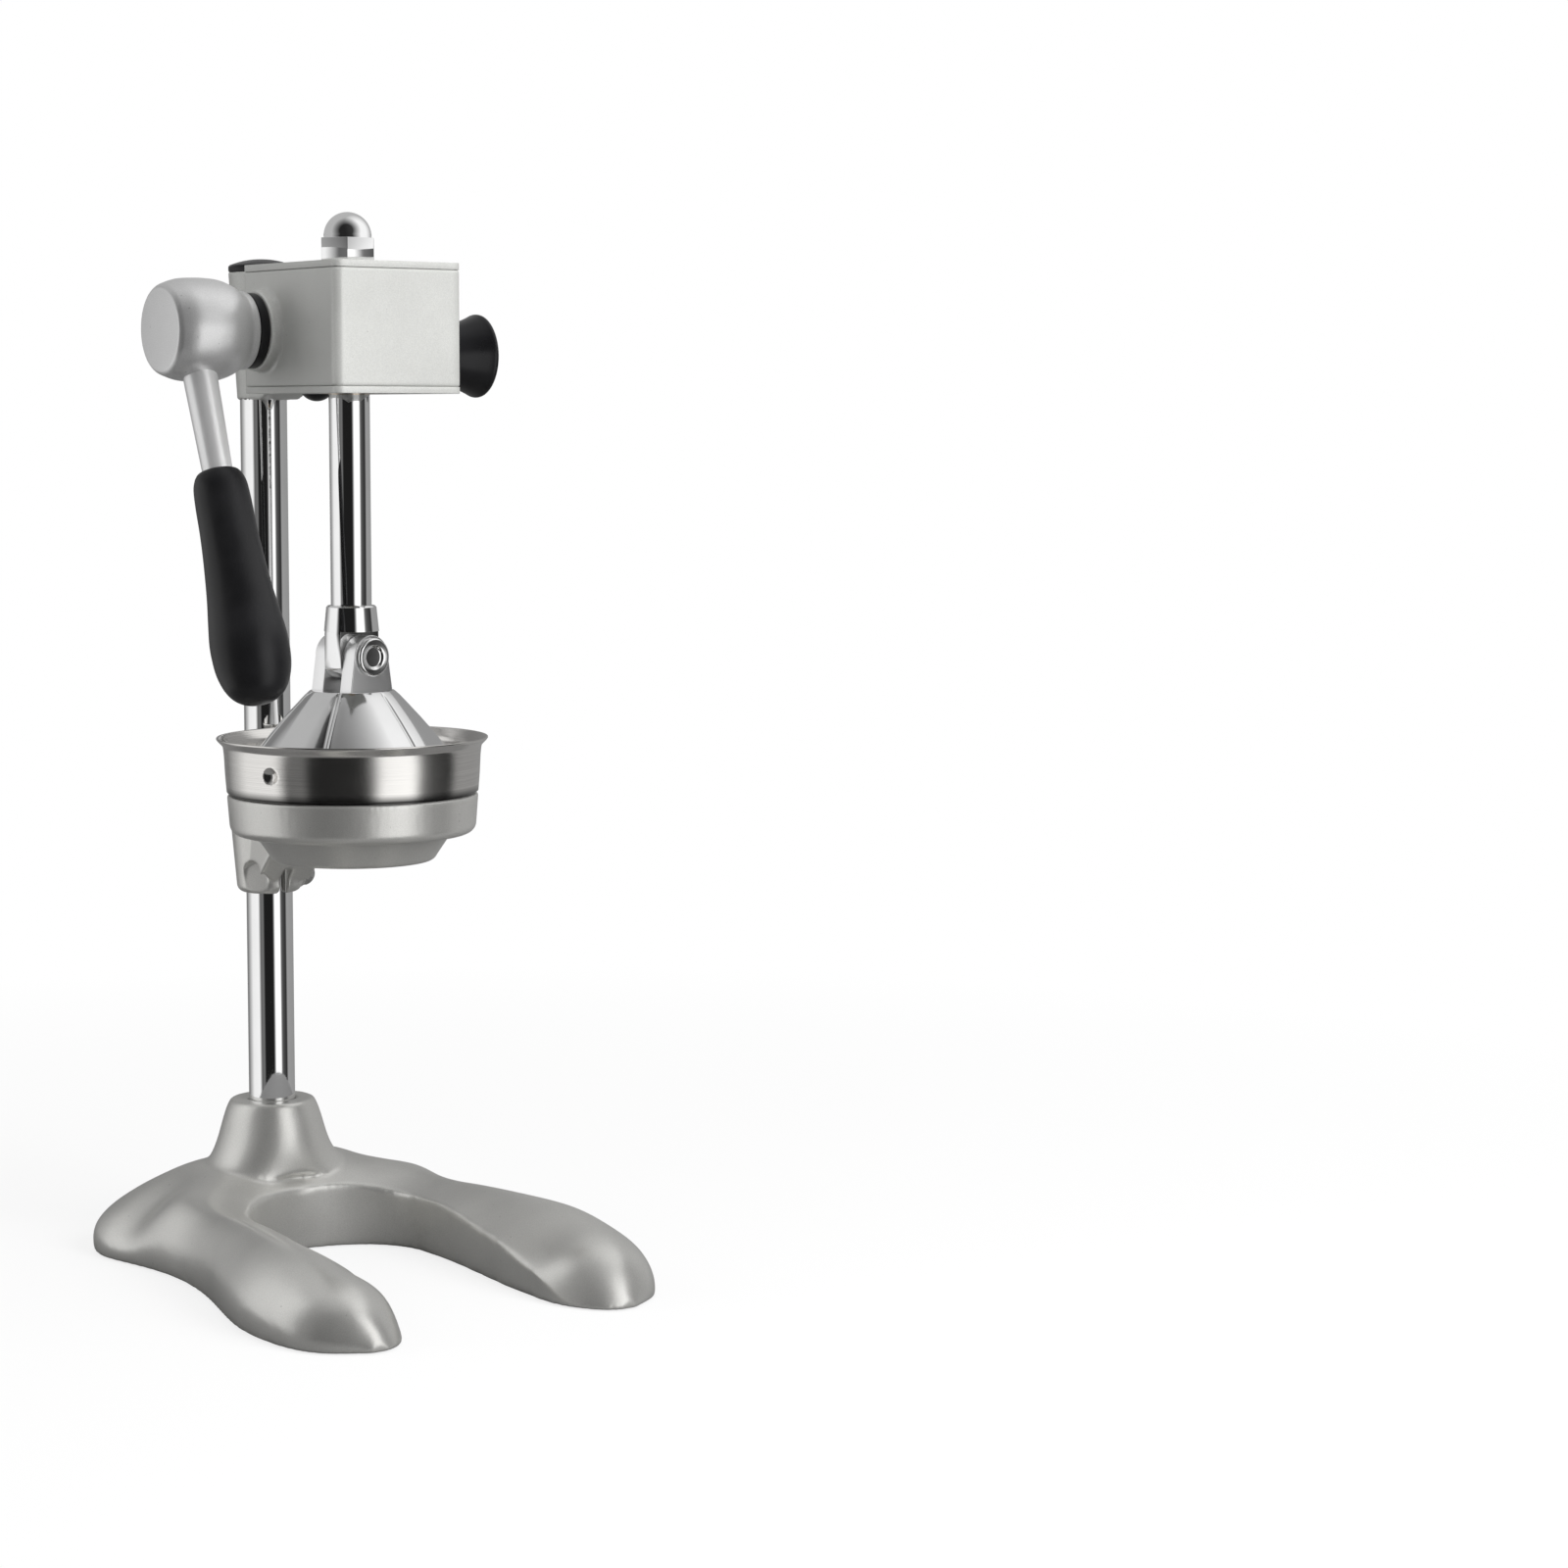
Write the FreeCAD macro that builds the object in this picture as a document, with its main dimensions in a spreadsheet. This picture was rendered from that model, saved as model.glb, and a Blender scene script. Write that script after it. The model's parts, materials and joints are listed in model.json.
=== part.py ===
import FreeCAD, Part
import math
import os
import Sketcher
from FreeCAD import Placement, Rotation, Vector

# Lever citrus juice press, in millimetres, +Z up.
# The origin is on the resting plane, under the plunger axis, at the middle of the footprint.
# The open side of the base looks along -Y and the lever is on the -X side.
SIZES = {
    # base casting
    "column_offset": 84.2, "foot_reach": 51.2, "leg_reach": 135.4, "base_half_width": 97.3,
    "sole_gap": 0.6, "neck_top": 71.5, "neck_radius": 20.4, "neck_foot_radius": 27,
    "neck_foot": 36, "neck_flare": 17, "crown_height": 35, "gap_half_width": 44.7, "gap_depth": 38.6,
    "gap_start": -15.1, "foot_pad_radius": 10, "foot_pad_thick": 4,
    # column
    "column_radius": 11.25, "column_wall": 2, "column_foot": 12, "fit_gap": 0.05, "bolt_radius": 5,
    "bolt_head_radius": 9, "bolt_head_height": 6.4, "washer_radius": 11, "washer_thick": 2,
    "column_top": 474.6, "cap_radius": 16, "cap_side": 3, "cap_dome": 3.4,
    # gear housing
    "box_bottom": 416.2, "box_height": 59.5, "box_half_width": 33.1, "box_front": -47.5,
    "box_back": 40.3, "box_corner": 4.5, "cover_thick": 3.1, "box_wall": 6, "screw_sink": 1.8,
    "sleeve_top_radius": 16, "sleeve_foot_radius": 12.5, "sleeve_foot": 413.4, "web_half_width": 11,
    "boss_ring_radius": 18.5, "boss_ring_face": 38.6, "shaft_boss_radius": 14.5, "shaft_boss_face": 14.5,
    "plug_back": 31,
    # drive
    "gear_module": 2, "gear_teeth": 14, "pinion_back": 20.6, "pinion_height": 444.9, "gear_face": 14,
    "shaft_radius": 8, "bush_radius": 10.5, "gear_backlash": 0.3, "pin_radius": 2,
    # plunger
    "plunger_radius": 9.5, "plunger_foot": 306, "rack_pitch_line": 6.6, "rack_first": 2, "rack_gaps": 14,
    "thread_radius": 8, "guide_radius": 13, "guide_length": 11, "nut_flats": 24, "nut_hex_height": 12,
    "nut_dome_radius": 11, "nut_length": 24,
    # plunger socket and pivot
    "socket_top": 318, "socket_top_radius": 11.7, "socket_foot_radius": 12.9, "socket_shoulder": 306,
    "tang_half": 5.7, "pivot_height": 294.3, "pivot_yaw": 11, "tang_radius": 12.6, "pivot_pin_radius": 4,
    "pin_head_radius": 9, "pin_head_thick": 2.2, "ear_outer": 14.2, "ear_radius": 10.2, "ear_gap": 0.3,
    # press cone and strainer
    "cone_top": 278.3, "cone_top_radius": 20, "cone_foot": 244.6, "cone_foot_radius": 49,
    "cone_wall": 3.2, "cone_skirt": 3.4, "flutes": 8, "flute_depth": 1.3, "peel_gap": 4.6,
    "strainer_wall": 1.2, "strainer_flange": 47, "strainer_slots": 18, "slot_width": 2.4,
    # bowl
    "rim_height": 256.6, "rim_radius": 63.4, "bowl_top_radius": 60.2, "bowl_seam_radius": 58.6,
    "seam_height": 230, "bowl_wall": 1.2, "bowl_sink_radius": 54.6, "bowl_gap": 0.4,
    "bowl_outlet_radius": 12, "bowl_outlet_drop": 2.6,
    # bowl bracket
    "bracket_wall": 3.4, "ring_foot": 211, "ring_foot_radius": 57.6, "funnel_radius": 46, "funnel_foot_radius": 39,
    "funnel_foot": 198.2, "spout_radius": 15, "clamp_foot": 174.2, "clamp_top": 226,
    "clamp_top_radius": 19, "clamp_foot_radius": 15.8, "arm_half_width": 15, "clamp_slit": 4.6,
    "slit_height": 13.4, "clamp_screw_boss": 17.2, "arch_half_width": 7, "arch_height": 16.5,
    # lever
    "hub_face": 86.1, "hub_face_radius": 19.2, "hub_belly_radius": 23.6, "hub_neck_radius": 18,
    "hub_neck_face": 43.6, "hub_washer_radius": 17.4, "lever_offset": 70, "lever_tilt": 20.3,
    "rod_root_radius": 7.8, "rod_tip_radius": 6.8, "grip_start": 68.5, "grip_length": 110,
    "grip_core_radius": 5,
    # friction lock
    "lock_height": 434.4, "knob_face": 70, "knob_radius": 19.7, "knob_neck_radius": 9.5,
    "lock_screw_radius": 4, "lock_pad_radius": 5, "lock_pad_length": 5, "lock_travel": 1.25,
    # small screws
    "cover_thread": 1.6, "set_screw_radius": 2.4, "clamp_screw_radius": 2.9, "clamp_screw_height": 181.5,
    "clamp_screw_head": 5.8, "hub_screw_radius": 2.9,
}

doc = FreeCAD.newDocument("citrus_press")
sheet = doc.addObject("Spreadsheet::Sheet", "Sizes")


class Size:
    """A number with the sheet formula that it comes from."""

    def __init__(self, value, formula):
        self.value = float(value)
        self.formula = formula

    def joined(self, other, sign, swap=False):
        other = sized(other)
        first, second = (other, self) if swap else (self, other)
        formula = "(%s %s %s)" % (first.formula, sign, second.formula)
        results = {"+": lambda: first.value + second.value, "-": lambda: first.value - second.value,
                   "*": lambda: first.value * second.value, "/": lambda: first.value / second.value}
        return Size(results[sign](), formula)

    def __add__(self, other):
        return self.joined(other, "+")

    def __radd__(self, other):
        return self.joined(other, "+", True)

    def __sub__(self, other):
        return self.joined(other, "-")

    def __rsub__(self, other):
        return self.joined(other, "-", True)

    def __mul__(self, other):
        return self.joined(other, "*")

    def __rmul__(self, other):
        return self.joined(other, "*", True)

    def __truediv__(self, other):
        return self.joined(other, "/")

    def __neg__(self):
        return self.joined(-1, "*")

    def __float__(self):
        return self.value


def sized(number):
    return number if isinstance(number, Size) else Size(number, repr(number))


for row, (alias, number) in enumerate(SIZES.items(), 1):
    sheet.set("A%d" % row, alias)
    sheet.set("B%d" % row, str(number))
    sheet.setAlias("B%d" % row, alias)
doc.recompute()


def size(alias):
    return Size(SIZES[alias], "Sizes." + alias)


class Bend:
    """An arc between two outline points: its radius, and 1 to bulge left of the way or -1 right."""

    def __init__(self, radius, side):
        self.radius = sized(radius)
        self.side = side

    def arc(self, start, end):
        """The arc itself, always anticlockwise, so it starts at the far point if it bulges left."""
        chord = end - start
        left = Vector(-chord.y, chord.x, 0).normalize()
        away = math.sqrt(max(self.radius.value ** 2 - chord.Length ** 2 / 4, 0))
        centre = (start + end) / 2 - left * away * self.side
        first, last = (end, start) if self.side > 0 else (start, end)
        angles = [math.atan2(point.y - centre.y, point.x - centre.x) for point in (first, last)]
        if angles[1] <= angles[0]:
            angles[1] += 2 * math.pi
        return Part.ArcOfCircle(Part.Circle(centre, Vector(0, 0, 1), self.radius.value), *angles)


def dome(width, rise):
    """The bend of a dome of revolution whose centre lies on the axis."""
    width, rise = sized(width), sized(rise)
    return Bend((width * width + rise * rise) / (rise * 2), -1)


class Curve:
    """A smooth curve between two outline points, through the points given."""

    def __init__(self, *points):
        self.points = [Vector(float(x), float(y), 0) for x, y in points]


def new_body(name):
    body = doc.addObject("PartDesign::Body", name)
    body.Label = name
    return body


def origin_plane(body, role):
    return [plane for plane in body.Origin.OriginFeatures if plane.Role == role][0]


def new_sketch(body, name, role="XZ_Plane", lift=0):
    sketch = body.newObject("Sketcher::SketchObject", name)
    sketch.AttachmentSupport = [(origin_plane(body, role), "")]
    sketch.MapMode = "FlatFace"
    lift = sized(lift)
    sketch.AttachmentOffset = Placement(Vector(0, 0, lift.value), Rotation())
    sketch.setExpression("AttachmentOffset.Base.z", lift.formula)
    return sketch


def pin_down(sketch, geometry, end, point):
    """Ties one end of a sketch line to its coordinates."""
    for number, kind, axis in ((point[0], "DistanceX", -2), (point[1], "DistanceY", -1)):
        number = sized(number)
        if number.value == 0:
            sketch.addConstraint(Sketcher.Constraint("PointOnObject", geometry, end, axis))
            continue
        index = sketch.addConstraint(Sketcher.Constraint(kind, -1, 1, geometry, end, number.value))
        sketch.setExpression("Constraints[%d]" % index, number.formula)


def add_outline(sketch, points):
    """Adds a closed outline of lines, bends and curves to a sketch."""
    corners = [item for item in points if isinstance(item, tuple)]
    links = []
    for index, item in enumerate(points):
        if isinstance(item, tuple):
            after = points[(index + 1) % len(points)]
            links.append(None if isinstance(after, tuple) else after)
    first = len(sketch.Geometry)
    count = len(corners)
    for index, link in enumerate(links):
        start = Vector(*[float(value) for value in corners[index]])
        end = Vector(*[float(value) for value in corners[(index + 1) % count]])
        if link is None:
            edge = Part.LineSegment(start, end)
        elif isinstance(link, Bend):
            edge = link.arc(start, end)
        else:
            edge = Part.BSplineCurve()
            edge.interpolate([start] + link.points + [end])
        sketch.addGeometry(edge, False)
    turned = [isinstance(link, Bend) and link.side > 0 for link in links]
    for index, link in enumerate(links):
        after = (index + 1) % count
        end_mark = 1 if turned[index] else 2
        start_mark = 2 if turned[after] else 1
        sketch.addConstraint(Sketcher.Constraint("Coincident", first + index, end_mark,
                                                 first + after, start_mark))
        pin_down(sketch, first + index, 2 if turned[index] else 1, corners[index])
        if isinstance(link, Bend):
            mark = sketch.addConstraint(Sketcher.Constraint("Radius", first + index, link.radius.value))
            sketch.setExpression("Constraints[%d]" % mark, link.radius.formula)


def add_circle(sketch, x, y, radius):
    index = sketch.addGeometry(Part.Circle(Vector(float(x), float(y), 0), Vector(0, 0, 1),
                                           float(radius)), False)
    radius = sized(radius)
    mark = sketch.addConstraint(Sketcher.Constraint("Radius", index, radius.value))
    sketch.setExpression("Constraints[%d]" % mark, radius.formula)
    pin_down(sketch, index, 3, (x, y))


def revolved(body, name, points, kind="Revolution", role="XZ_Plane"):
    sketch = new_sketch(body, name + "_profile", role)
    add_outline(sketch, points)
    feature = body.newObject("PartDesign::" + kind, name)
    feature.Profile = sketch
    feature.ReferenceAxis = (sketch, ["V_Axis"])
    feature.Angle = 360
    sketch.Visibility = False
    return feature


def extruded(body, name, sketch, length, kind="Pad", both=False, back=False):
    feature = body.newObject("PartDesign::" + kind, name)
    feature.Profile = sketch
    length = sized(length)
    feature.Length = length.value
    feature.setExpression("Length", length.formula)
    feature.Midplane = both
    feature.Reversed = back
    sketch.Visibility = False
    return feature


def bored(body, name, x, y, radius, low, high, role="XY_Plane"):
    """Cuts a round hole between two levels along the normal of a plane."""
    sketch = new_sketch(body, name + "_circle", role, low)
    add_circle(sketch, x, y, radius)
    return extruded(body, name, sketch, sized(high) - low, "Pocket", back=True)


def polar(body, name, feature, count, sketch):
    pattern = body.newObject("PartDesign::PolarPattern", name)
    pattern.Originals = [feature]
    pattern.Axis = (sketch, ["V_Axis"])
    pattern.Angle = 360
    pattern.Occurrences = int(float(count))
    count = sized(count)
    pattern.setExpression("Occurrences", count.formula)
    body.Tip = pattern
    return pattern


def place(part, x=0, y=0, z=0, rotation=Rotation()):
    spot = [sized(value) for value in (x, y, z)]
    part.Placement = Placement(Vector(*[value.value for value in spot]), rotation)
    for axis, value in zip("xyz", spot):
        part.setExpression("Placement.Base." + axis, value.formula)


def group(name, body, spots):
    """A node of identical separate solids, copied from one body."""
    doc.recompute()
    copies = []
    for spot in spots:
        copy = body.Shape.copy()
        copy.Placement = spot.multiply(copy.Placement)
        copies.append(copy)
    part = doc.addObject("Part::Feature", name)
    part.Label = name
    part.Shape = Part.makeCompound(copies)
    return part


TO_LEFT = Rotation(Vector(0, 1, 0), -90)
TO_RIGHT = Rotation(Vector(0, 1, 0), 90)
UPSIDE_DOWN = Rotation(Vector(1, 0, 0), 180)
PIVOT_TURN = Rotation(Vector(0, 0, 1), SIZES["pivot_yaw"])
fit = size("fit_gap")
column_y = size("column_offset")
SLEEVE_SCREW_LEVELS = (432.0, 458.0)
HUB_SCREW_AT = 51.0
NODES = []


# Slices of the base: distance behind the column axis in millimetres, then seven points of the half arch from
# the outer edge to the inner end, in hundredths of the half width and of the crown height.
BASE_SLICES = [
    (51.2, (52, 2), (52, 6), (47, 11), (37, 14), (25, 16), (12, 17), (-4, 13)),
    (48.2, (66, 2), (66, 14), (62, 26), (49, 35), (34, 41), (16, 44), (-4, 40)),
    (41.2, (77.5, 2), (78, 22), (73, 42), (60, 59), (41, 71), (20, 76), (-4, 73)),
    (28, (85.5, 2), (86, 26), (80, 52), (66, 77), (47, 97), (24, 109), (-4, 108)),
    (12, (88.5, 2), (89, 25), (82, 52), (68, 79), (50, 104), (30, 122), (-4, 122)),
    (-3, (86, 2), (86.5, 22), (80, 46), (68, 72), (52, 101), (36, 118), (-4, 116)),
    (-21, (82, 2), (83, 26), (79, 57), (70, 88), (57, 105), (38, 109), (-4, 99)),
    (-49, (79.5, 2), (80.5, 26), (77.5, 58), (71, 85), (61, 98), (44, 82), (-4, 60)),
    (-84, (83.5, 2), (84.5, 29), (81, 62), (74, 88), (64, 99), (47, 76), (-4, 38)),
    (-121, (93, 2), (94, 29), (90, 62), (80, 90), (67, 102), (46, 67), (14, 24)),
    (-153, (99.8, 2), (100.6, 29), (96, 62), (84, 90), (68, 100), (44, 58), (27, 22)),
    (-176, (100, 2), (100.5, 26), (96, 56), (84, 82), (67, 93), (43, 44), (36, 14)),
    (-195, (96.5, 2), (96.8, 22), (92.5, 49), (82, 71), (67.5, 79), (50, 54), (42.5, 6)),
    (-208, (88.5, 2), (88.8, 16), (85, 36), (78, 51), (68, 57), (55.5, 39), (49, 5)),
    (-215.5, (78, 2), (78.2, 10), (76, 21), (72, 30), (67, 33), (60, 23), (55, 4)),
    (-219.6, (71.4, 2), (71.5, 5), (70.7, 9), (69, 12), (66.8, 13), (64, 9.5), (62, 3.5)),
]
ARCH_PUSH = 0.2


def base_slice(body, number, along, points):
    """Half a slice of the base: an arch from the outer edge to the inner end, closed by the flat sole."""
    wide, high = SIZES["base_half_width"] / 100, SIZES["crown_height"] / 100
    bottom = SIZES["sole_gap"]
    sketch = new_sketch(body, "slice_%d" % number, "XZ_Plane", -(column_y + along))
    arch = Part.BSplineCurve()
    through = [Vector(x * wide, max(z * high, bottom), 0) for x, z in points]
    through[0].y = bottom
    poles = [mid + (mid * 2 - before - after) * ARCH_PUSH
             for before, mid, after in zip(through, through[1:], through[2:])]
    first, last = through[0], through[-1]
    arch.buildFromPoles([first] + poles + [last], False, 3)
    corner = Vector(last.x, bottom, 0)
    for edge in (arch, Part.LineSegment(last, corner), Part.LineSegment(corner, first)):
        sketch.addGeometry(edge, False)
    for index in range(3):
        sketch.addConstraint(Sketcher.Constraint("Coincident", index, 2, (index + 1) % 3, 1))
    sketch.Visibility = False
    return sketch


def neck_slice(body, number, level, side, front):
    """An oval slice of the neck round the column, wider to the sides than to the front."""
    sketch = new_sketch(body, "neck_slice_%d" % number, "XY_Plane", level)
    centre = Vector(0, float(column_y), 0)
    oval = Part.Ellipse(centre + Vector(float(side) + 0.01, 0, 0), centre + Vector(0, float(front), 0), centre)
    sketch.addGeometry(oval, False)
    sketch.Visibility = False
    return sketch


def make_base():
    """The cast horseshoe base: two lobes behind, two long legs in front, and the column's neck."""
    body = new_body("base")
    scale = (SIZES["leg_reach"] + SIZES["column_offset"]) / 219.6
    slices = [base_slice(body, number, along * (scale if along < 0 else SIZES["foot_reach"] / 51.2), points)
              for number, (along, *points) in enumerate(BASE_SLICES)]
    loft = body.newObject("PartDesign::AdditiveLoft", "half_body")
    loft.Profile = slices[0]
    loft.Sections = slices[1:]
    loft.Ruled = False
    doc.recompute()
    mirror = body.newObject("PartDesign::Mirrored", "both_halves")
    mirror.Originals = [loft]
    mirror.MirrorPlane = (origin_plane(body, "YZ_Plane"), [""])
    body.Tip = mirror
    doc.recompute()
    low, top, radius, foot = size("neck_foot"), size("neck_top"), size("neck_radius"), size("neck_foot_radius")
    flare, rise = size("neck_flare"), size("neck_top") - size("neck_foot")
    ovals = [neck_slice(body, number, low + rise * share, radius + (foot - radius) * side, radius + (foot - radius) * front)
             for number, (share, side, front) in enumerate(((1, 0, 0), (0.7, 0.6, 0.6), (0.48, 0.95, 0.88)))]
    ovals.append(neck_slice(body, 3, low + rise * 0.25, foot + flare * 0.22, foot - 0.2))
    ovals.append(neck_slice(body, 4, low + 1, foot + flare, foot))
    neck = body.newObject("PartDesign::AdditiveLoft", "neck")
    neck.Profile = ovals[0]
    neck.Sections = ovals[1:]
    neck.Ruled = False
    body.Tip = neck
    doc.recompute()
    gap = new_sketch(body, "gap_outline", "XY_Plane", size("sole_gap") - 5)
    half, start = size("gap_half_width"), size("gap_depth")
    middle = column_y + size("gap_start") - 54
    front = 0.74 * half
    add_outline(gap, [
        (-half, middle), Curve((-float(half) * 0.72, float(middle) + 27), (0, float(middle + start)),
                               (float(half) * 0.72, float(middle) + 27)),
        (half, middle), Curve((float(half) * 1.01, float(middle) - 26), (float(half) * 0.93, float(middle) - 72)),
        (half * 0.905, middle - 105), Curve((float(half) * 0.93, float(middle) - 124)),
        (half * 1.04, middle - 138), (half * 1.04, middle - 200), (-half * 1.04, middle - 200),
        (-half * 1.04, middle - 138), Curve((-float(half) * 0.93, float(middle) - 124)),
        (-half * 0.905, middle - 105), Curve((-float(half) * 0.93, float(middle) - 72),
                                             (-float(half) * 1.01, float(middle) - 26))])
    extruded(body, "gap", gap, size("neck_top") + 20, "Pocket", back=True)
    doc.recompute()
    bored(body, "column_bore", 0, column_y, size("column_radius") + fit, size("column_foot"),
          size("neck_top") + 5)
    bored(body, "bolt_hole", 0, column_y, size("bolt_radius") + 0.4, -5, size("column_foot") + 5)
    bored(body, "bolt_pocket", 0, column_y, size("washer_radius") + 1, -5,
          size("bolt_head_height") + size("washer_thick") + 1)
    for number, (x, y) in enumerate(foot_spots()):
        bored(body, "pad_pocket_%d" % number, x, y, size("foot_pad_radius") + fit, -5,
              size("foot_pad_thick"))
    NODES.append(body)


def foot_spots():
    """The four rubber feet: under the lobes and under the ends of the legs."""
    rear_x, rear_y = 0.63 * size("base_half_width"), column_y + 0.3 * size("foot_reach")
    front_x, front_y = 0.715 * size("base_half_width"), 35.4 - size("leg_reach")
    return [(-rear_x, rear_y), (rear_x, rear_y), (-front_x, front_y), (front_x, front_y)]


def make_rubber_feet():
    body = new_body("foot_pattern")
    sketch = new_sketch(body, "foot_circle", "XY_Plane")
    add_circle(sketch, 0, 0, size("foot_pad_radius"))
    extruded(body, "foot", sketch, size("foot_pad_thick"))
    NODES.append(group("rubber_feet", body, [Placement(Vector(float(x), float(y), 0), Rotation())
                                             for x, y in foot_spots()]))


def ring_body(name, outer, inner, low, high, x=0, y=0, z=0, rotation=Rotation()):
    """A plain turned ring or, with no inner radius, a plain turned disc."""
    body = new_body(name)
    inner = sized(inner)
    revolved(body, "turned", [(inner, low), (outer, low), (outer, high), (inner, high)])
    place(body, x, y, z, rotation)
    NODES.append(body)
    return body


def make_column():
    """The chromed tube, its threaded foot plug, the bolt and washer under the base, and the cap."""
    radius, foot = size("column_radius"), size("column_foot")
    ring_body("column", radius, radius - size("column_wall"), foot, size("column_top"), 0, column_y)
    plug_radius = radius - size("column_wall") - fit
    ring_body("column_plug", plug_radius, size("bolt_radius") + fit, foot, foot + 22, 0, column_y)
    head, thick = size("bolt_head_height"), size("washer_thick")
    under = size("sole_gap") + 0.8
    ring_body("column_washer", size("washer_radius"), size("bolt_radius") + fit,
              head + 1, head + 1 + thick, 0, column_y)
    bolt = new_body("column_bolt")
    sketch = new_sketch(bolt, "head_outline", "XY_Plane", 1)
    hexagon(sketch, size("bolt_head_radius") * math.cos(math.pi / 6))
    extruded(bolt, "head", sketch, head)
    shank = new_sketch(bolt, "shank_circle", "XY_Plane", head + 1)
    add_circle(shank, 0, 0, size("bolt_radius"))
    extruded(bolt, "shank", shank, foot + 20 - head - 1)
    place(bolt, 0, column_y, 0)
    NODES.append(bolt)
    cap = new_body("column_cap")
    cap_radius, side, rise = size("cap_radius"), size("cap_side"), size("cap_dome")
    plug = radius - size("column_wall") - fit
    revolved(cap, "turned", [(0, -10), (plug, -10), (plug, 0), (cap_radius, 0), (cap_radius, side),
                             dome(cap_radius, rise), (0, side + rise)])
    place(cap, 0, column_y, size("column_top"))
    NODES.append(cap)


def hexagon(sketch, apothem):
    """A hexagon across flats, with two corners on the sketch's X axis."""
    apothem = sized(apothem)
    corner = apothem * (2 / math.sqrt(3))
    add_outline(sketch, [(corner, 0), (corner / 2, apothem), (-corner / 2, apothem),
                         (-corner, 0), (-corner / 2, -apothem), (corner / 2, -apothem)])


def make_housing():
    """The cast gear box with its column sleeve, web, shaft bosses and friction lock bore."""
    body = new_body("gear_housing")
    half, front, back = size("box_half_width"), size("box_front"), size("box_back")
    cover = size("cover_thick")
    low, high = size("box_bottom") + cover, size("box_bottom") + size("box_height") - cover
    add = new_sketch(body, "box_outline", "XY_Plane", low)
    box_outline(add, half, front, back)
    extruded(body, "box", add, high - low)
    wall, post = size("box_wall"), 9
    cave = new_sketch(body, "cave_outline", "XY_Plane", low - 1)
    inner, near, far = half - wall, front + wall, back - 3
    add_outline(cave, [(-inner, near + post), (-inner + post, near), (inner - post, near),
                       (inner, near + post), (inner, far - post), (inner - post, far),
                       (-inner + post, far), (-inner, far - post)])
    extruded(body, "cave", cave, high - low + 2, "Pocket", back=True)
    sleeve = new_sketch(body, "sleeve_profile", "YZ_Plane")
    reach = column_y
    foot, top = size("sleeve_foot"), size("column_top")
    add_outline(sleeve, [(reach, foot), (reach + size("sleeve_foot_radius") - 1, foot),
                         (reach + size("sleeve_foot_radius"), foot + 1),
                         (reach + size("sleeve_top_radius"), top), (reach, top)])
    turn = body.newObject("PartDesign::Revolution", "sleeve")
    turn.Profile = sleeve
    axis = new_sketch(body, "sleeve_axis", "YZ_Plane")
    axis.addGeometry(Part.LineSegment(Vector(float(reach), 0, 0), Vector(float(reach), 100, 0)), False)
    pin_down(axis, 0, 1, (reach, 0))
    pin_down(axis, 0, 2, (reach, 100))
    turn.ReferenceAxis = (axis, ["Edge1"])
    turn.Angle = 360
    body.Tip = turn
    web = new_sketch(body, "web_outline", "YZ_Plane")
    add_outline(web, [(back - 1, low + 2), (back + 12, low + 0.4), (reach - 16, foot + 0.4),
                      (reach, foot + 0.4), (reach, top - 3), (back - 1, top - 7)])
    extruded(body, "web", web, 2 * size("web_half_width"), both=True)
    pinion_y, pinion_z = size("pinion_back"), size("pinion_height")
    ring = new_sketch(body, "ring_circle", "YZ_Plane", -size("boss_ring_face"))
    add_circle(ring, pinion_y, pinion_z, size("boss_ring_radius"))
    extruded(body, "boss_ring", ring, size("boss_ring_face") - half + 1)
    for side, name in ((-1, "left"), (1, "right")):
        start = -inner - 1 if side < 0 else size("shaft_boss_face")
        boss = new_sketch(body, name + "_boss_circle", "YZ_Plane", start)
        add_circle(boss, pinion_y, pinion_z, size("shaft_boss_radius"))
        extruded(body, name + "_boss", boss, inner + 1 - size("shaft_boss_face"))
    bored(body, "shaft_bore", pinion_y, pinion_z, size("bush_radius") + fit,
          -size("boss_ring_face") - 5, size("box_half_width") - 3, "YZ_Plane")
    bored(body, "column_bore", 0, column_y, size("column_radius") + fit, foot - 5, top + 5)
    bored(body, "lock_bore", 0, size("lock_height"), size("lock_screw_radius") + 0.1, 5, half + 5,
          "YZ_Plane")
    for number, (x, y) in enumerate(screw_spots()):
        bored(body, "top_thread_%d" % number, x, y, size("cover_thread") + fit, high - 9, high + 5)
        bored(body, "bottom_thread_%d" % number, x, y, size("cover_thread") + fit, low - 5, low + 9)
    for number, level in enumerate(SLEEVE_SCREW_LEVELS):
        bored(body, "sleeve_thread_%d" % number, 0, level, size("set_screw_radius") + fit,
              -(column_y + 30), -(column_y + 5), "XZ_Plane")
    doc.recompute()
    NODES.append(body)


def box_outline(sketch, half, front, back):
    """The box seen from above, with round front corners and smaller ones behind."""
    round_front, round_back = size("box_corner"), 2
    add_outline(sketch, [
        (-half, front + round_front), Bend(round_front, -1), (-half + round_front, front),
        (half - round_front, front), Bend(round_front, -1), (half, front + round_front),
        (half, back - round_back), Bend(round_back, -1), (half - round_back, back),
        (-half + round_back, back), Bend(round_back, -1), (-half, back - round_back)])


def screw_spots():
    inset = 6.6
    xs = (float(size("box_half_width")) - inset) * 1.0
    front, back = float(size("box_front")) + inset, float(size("box_back")) - inset + 1.6
    return [(-xs, front), (xs, front), (-xs, back), (xs, back)]


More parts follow.
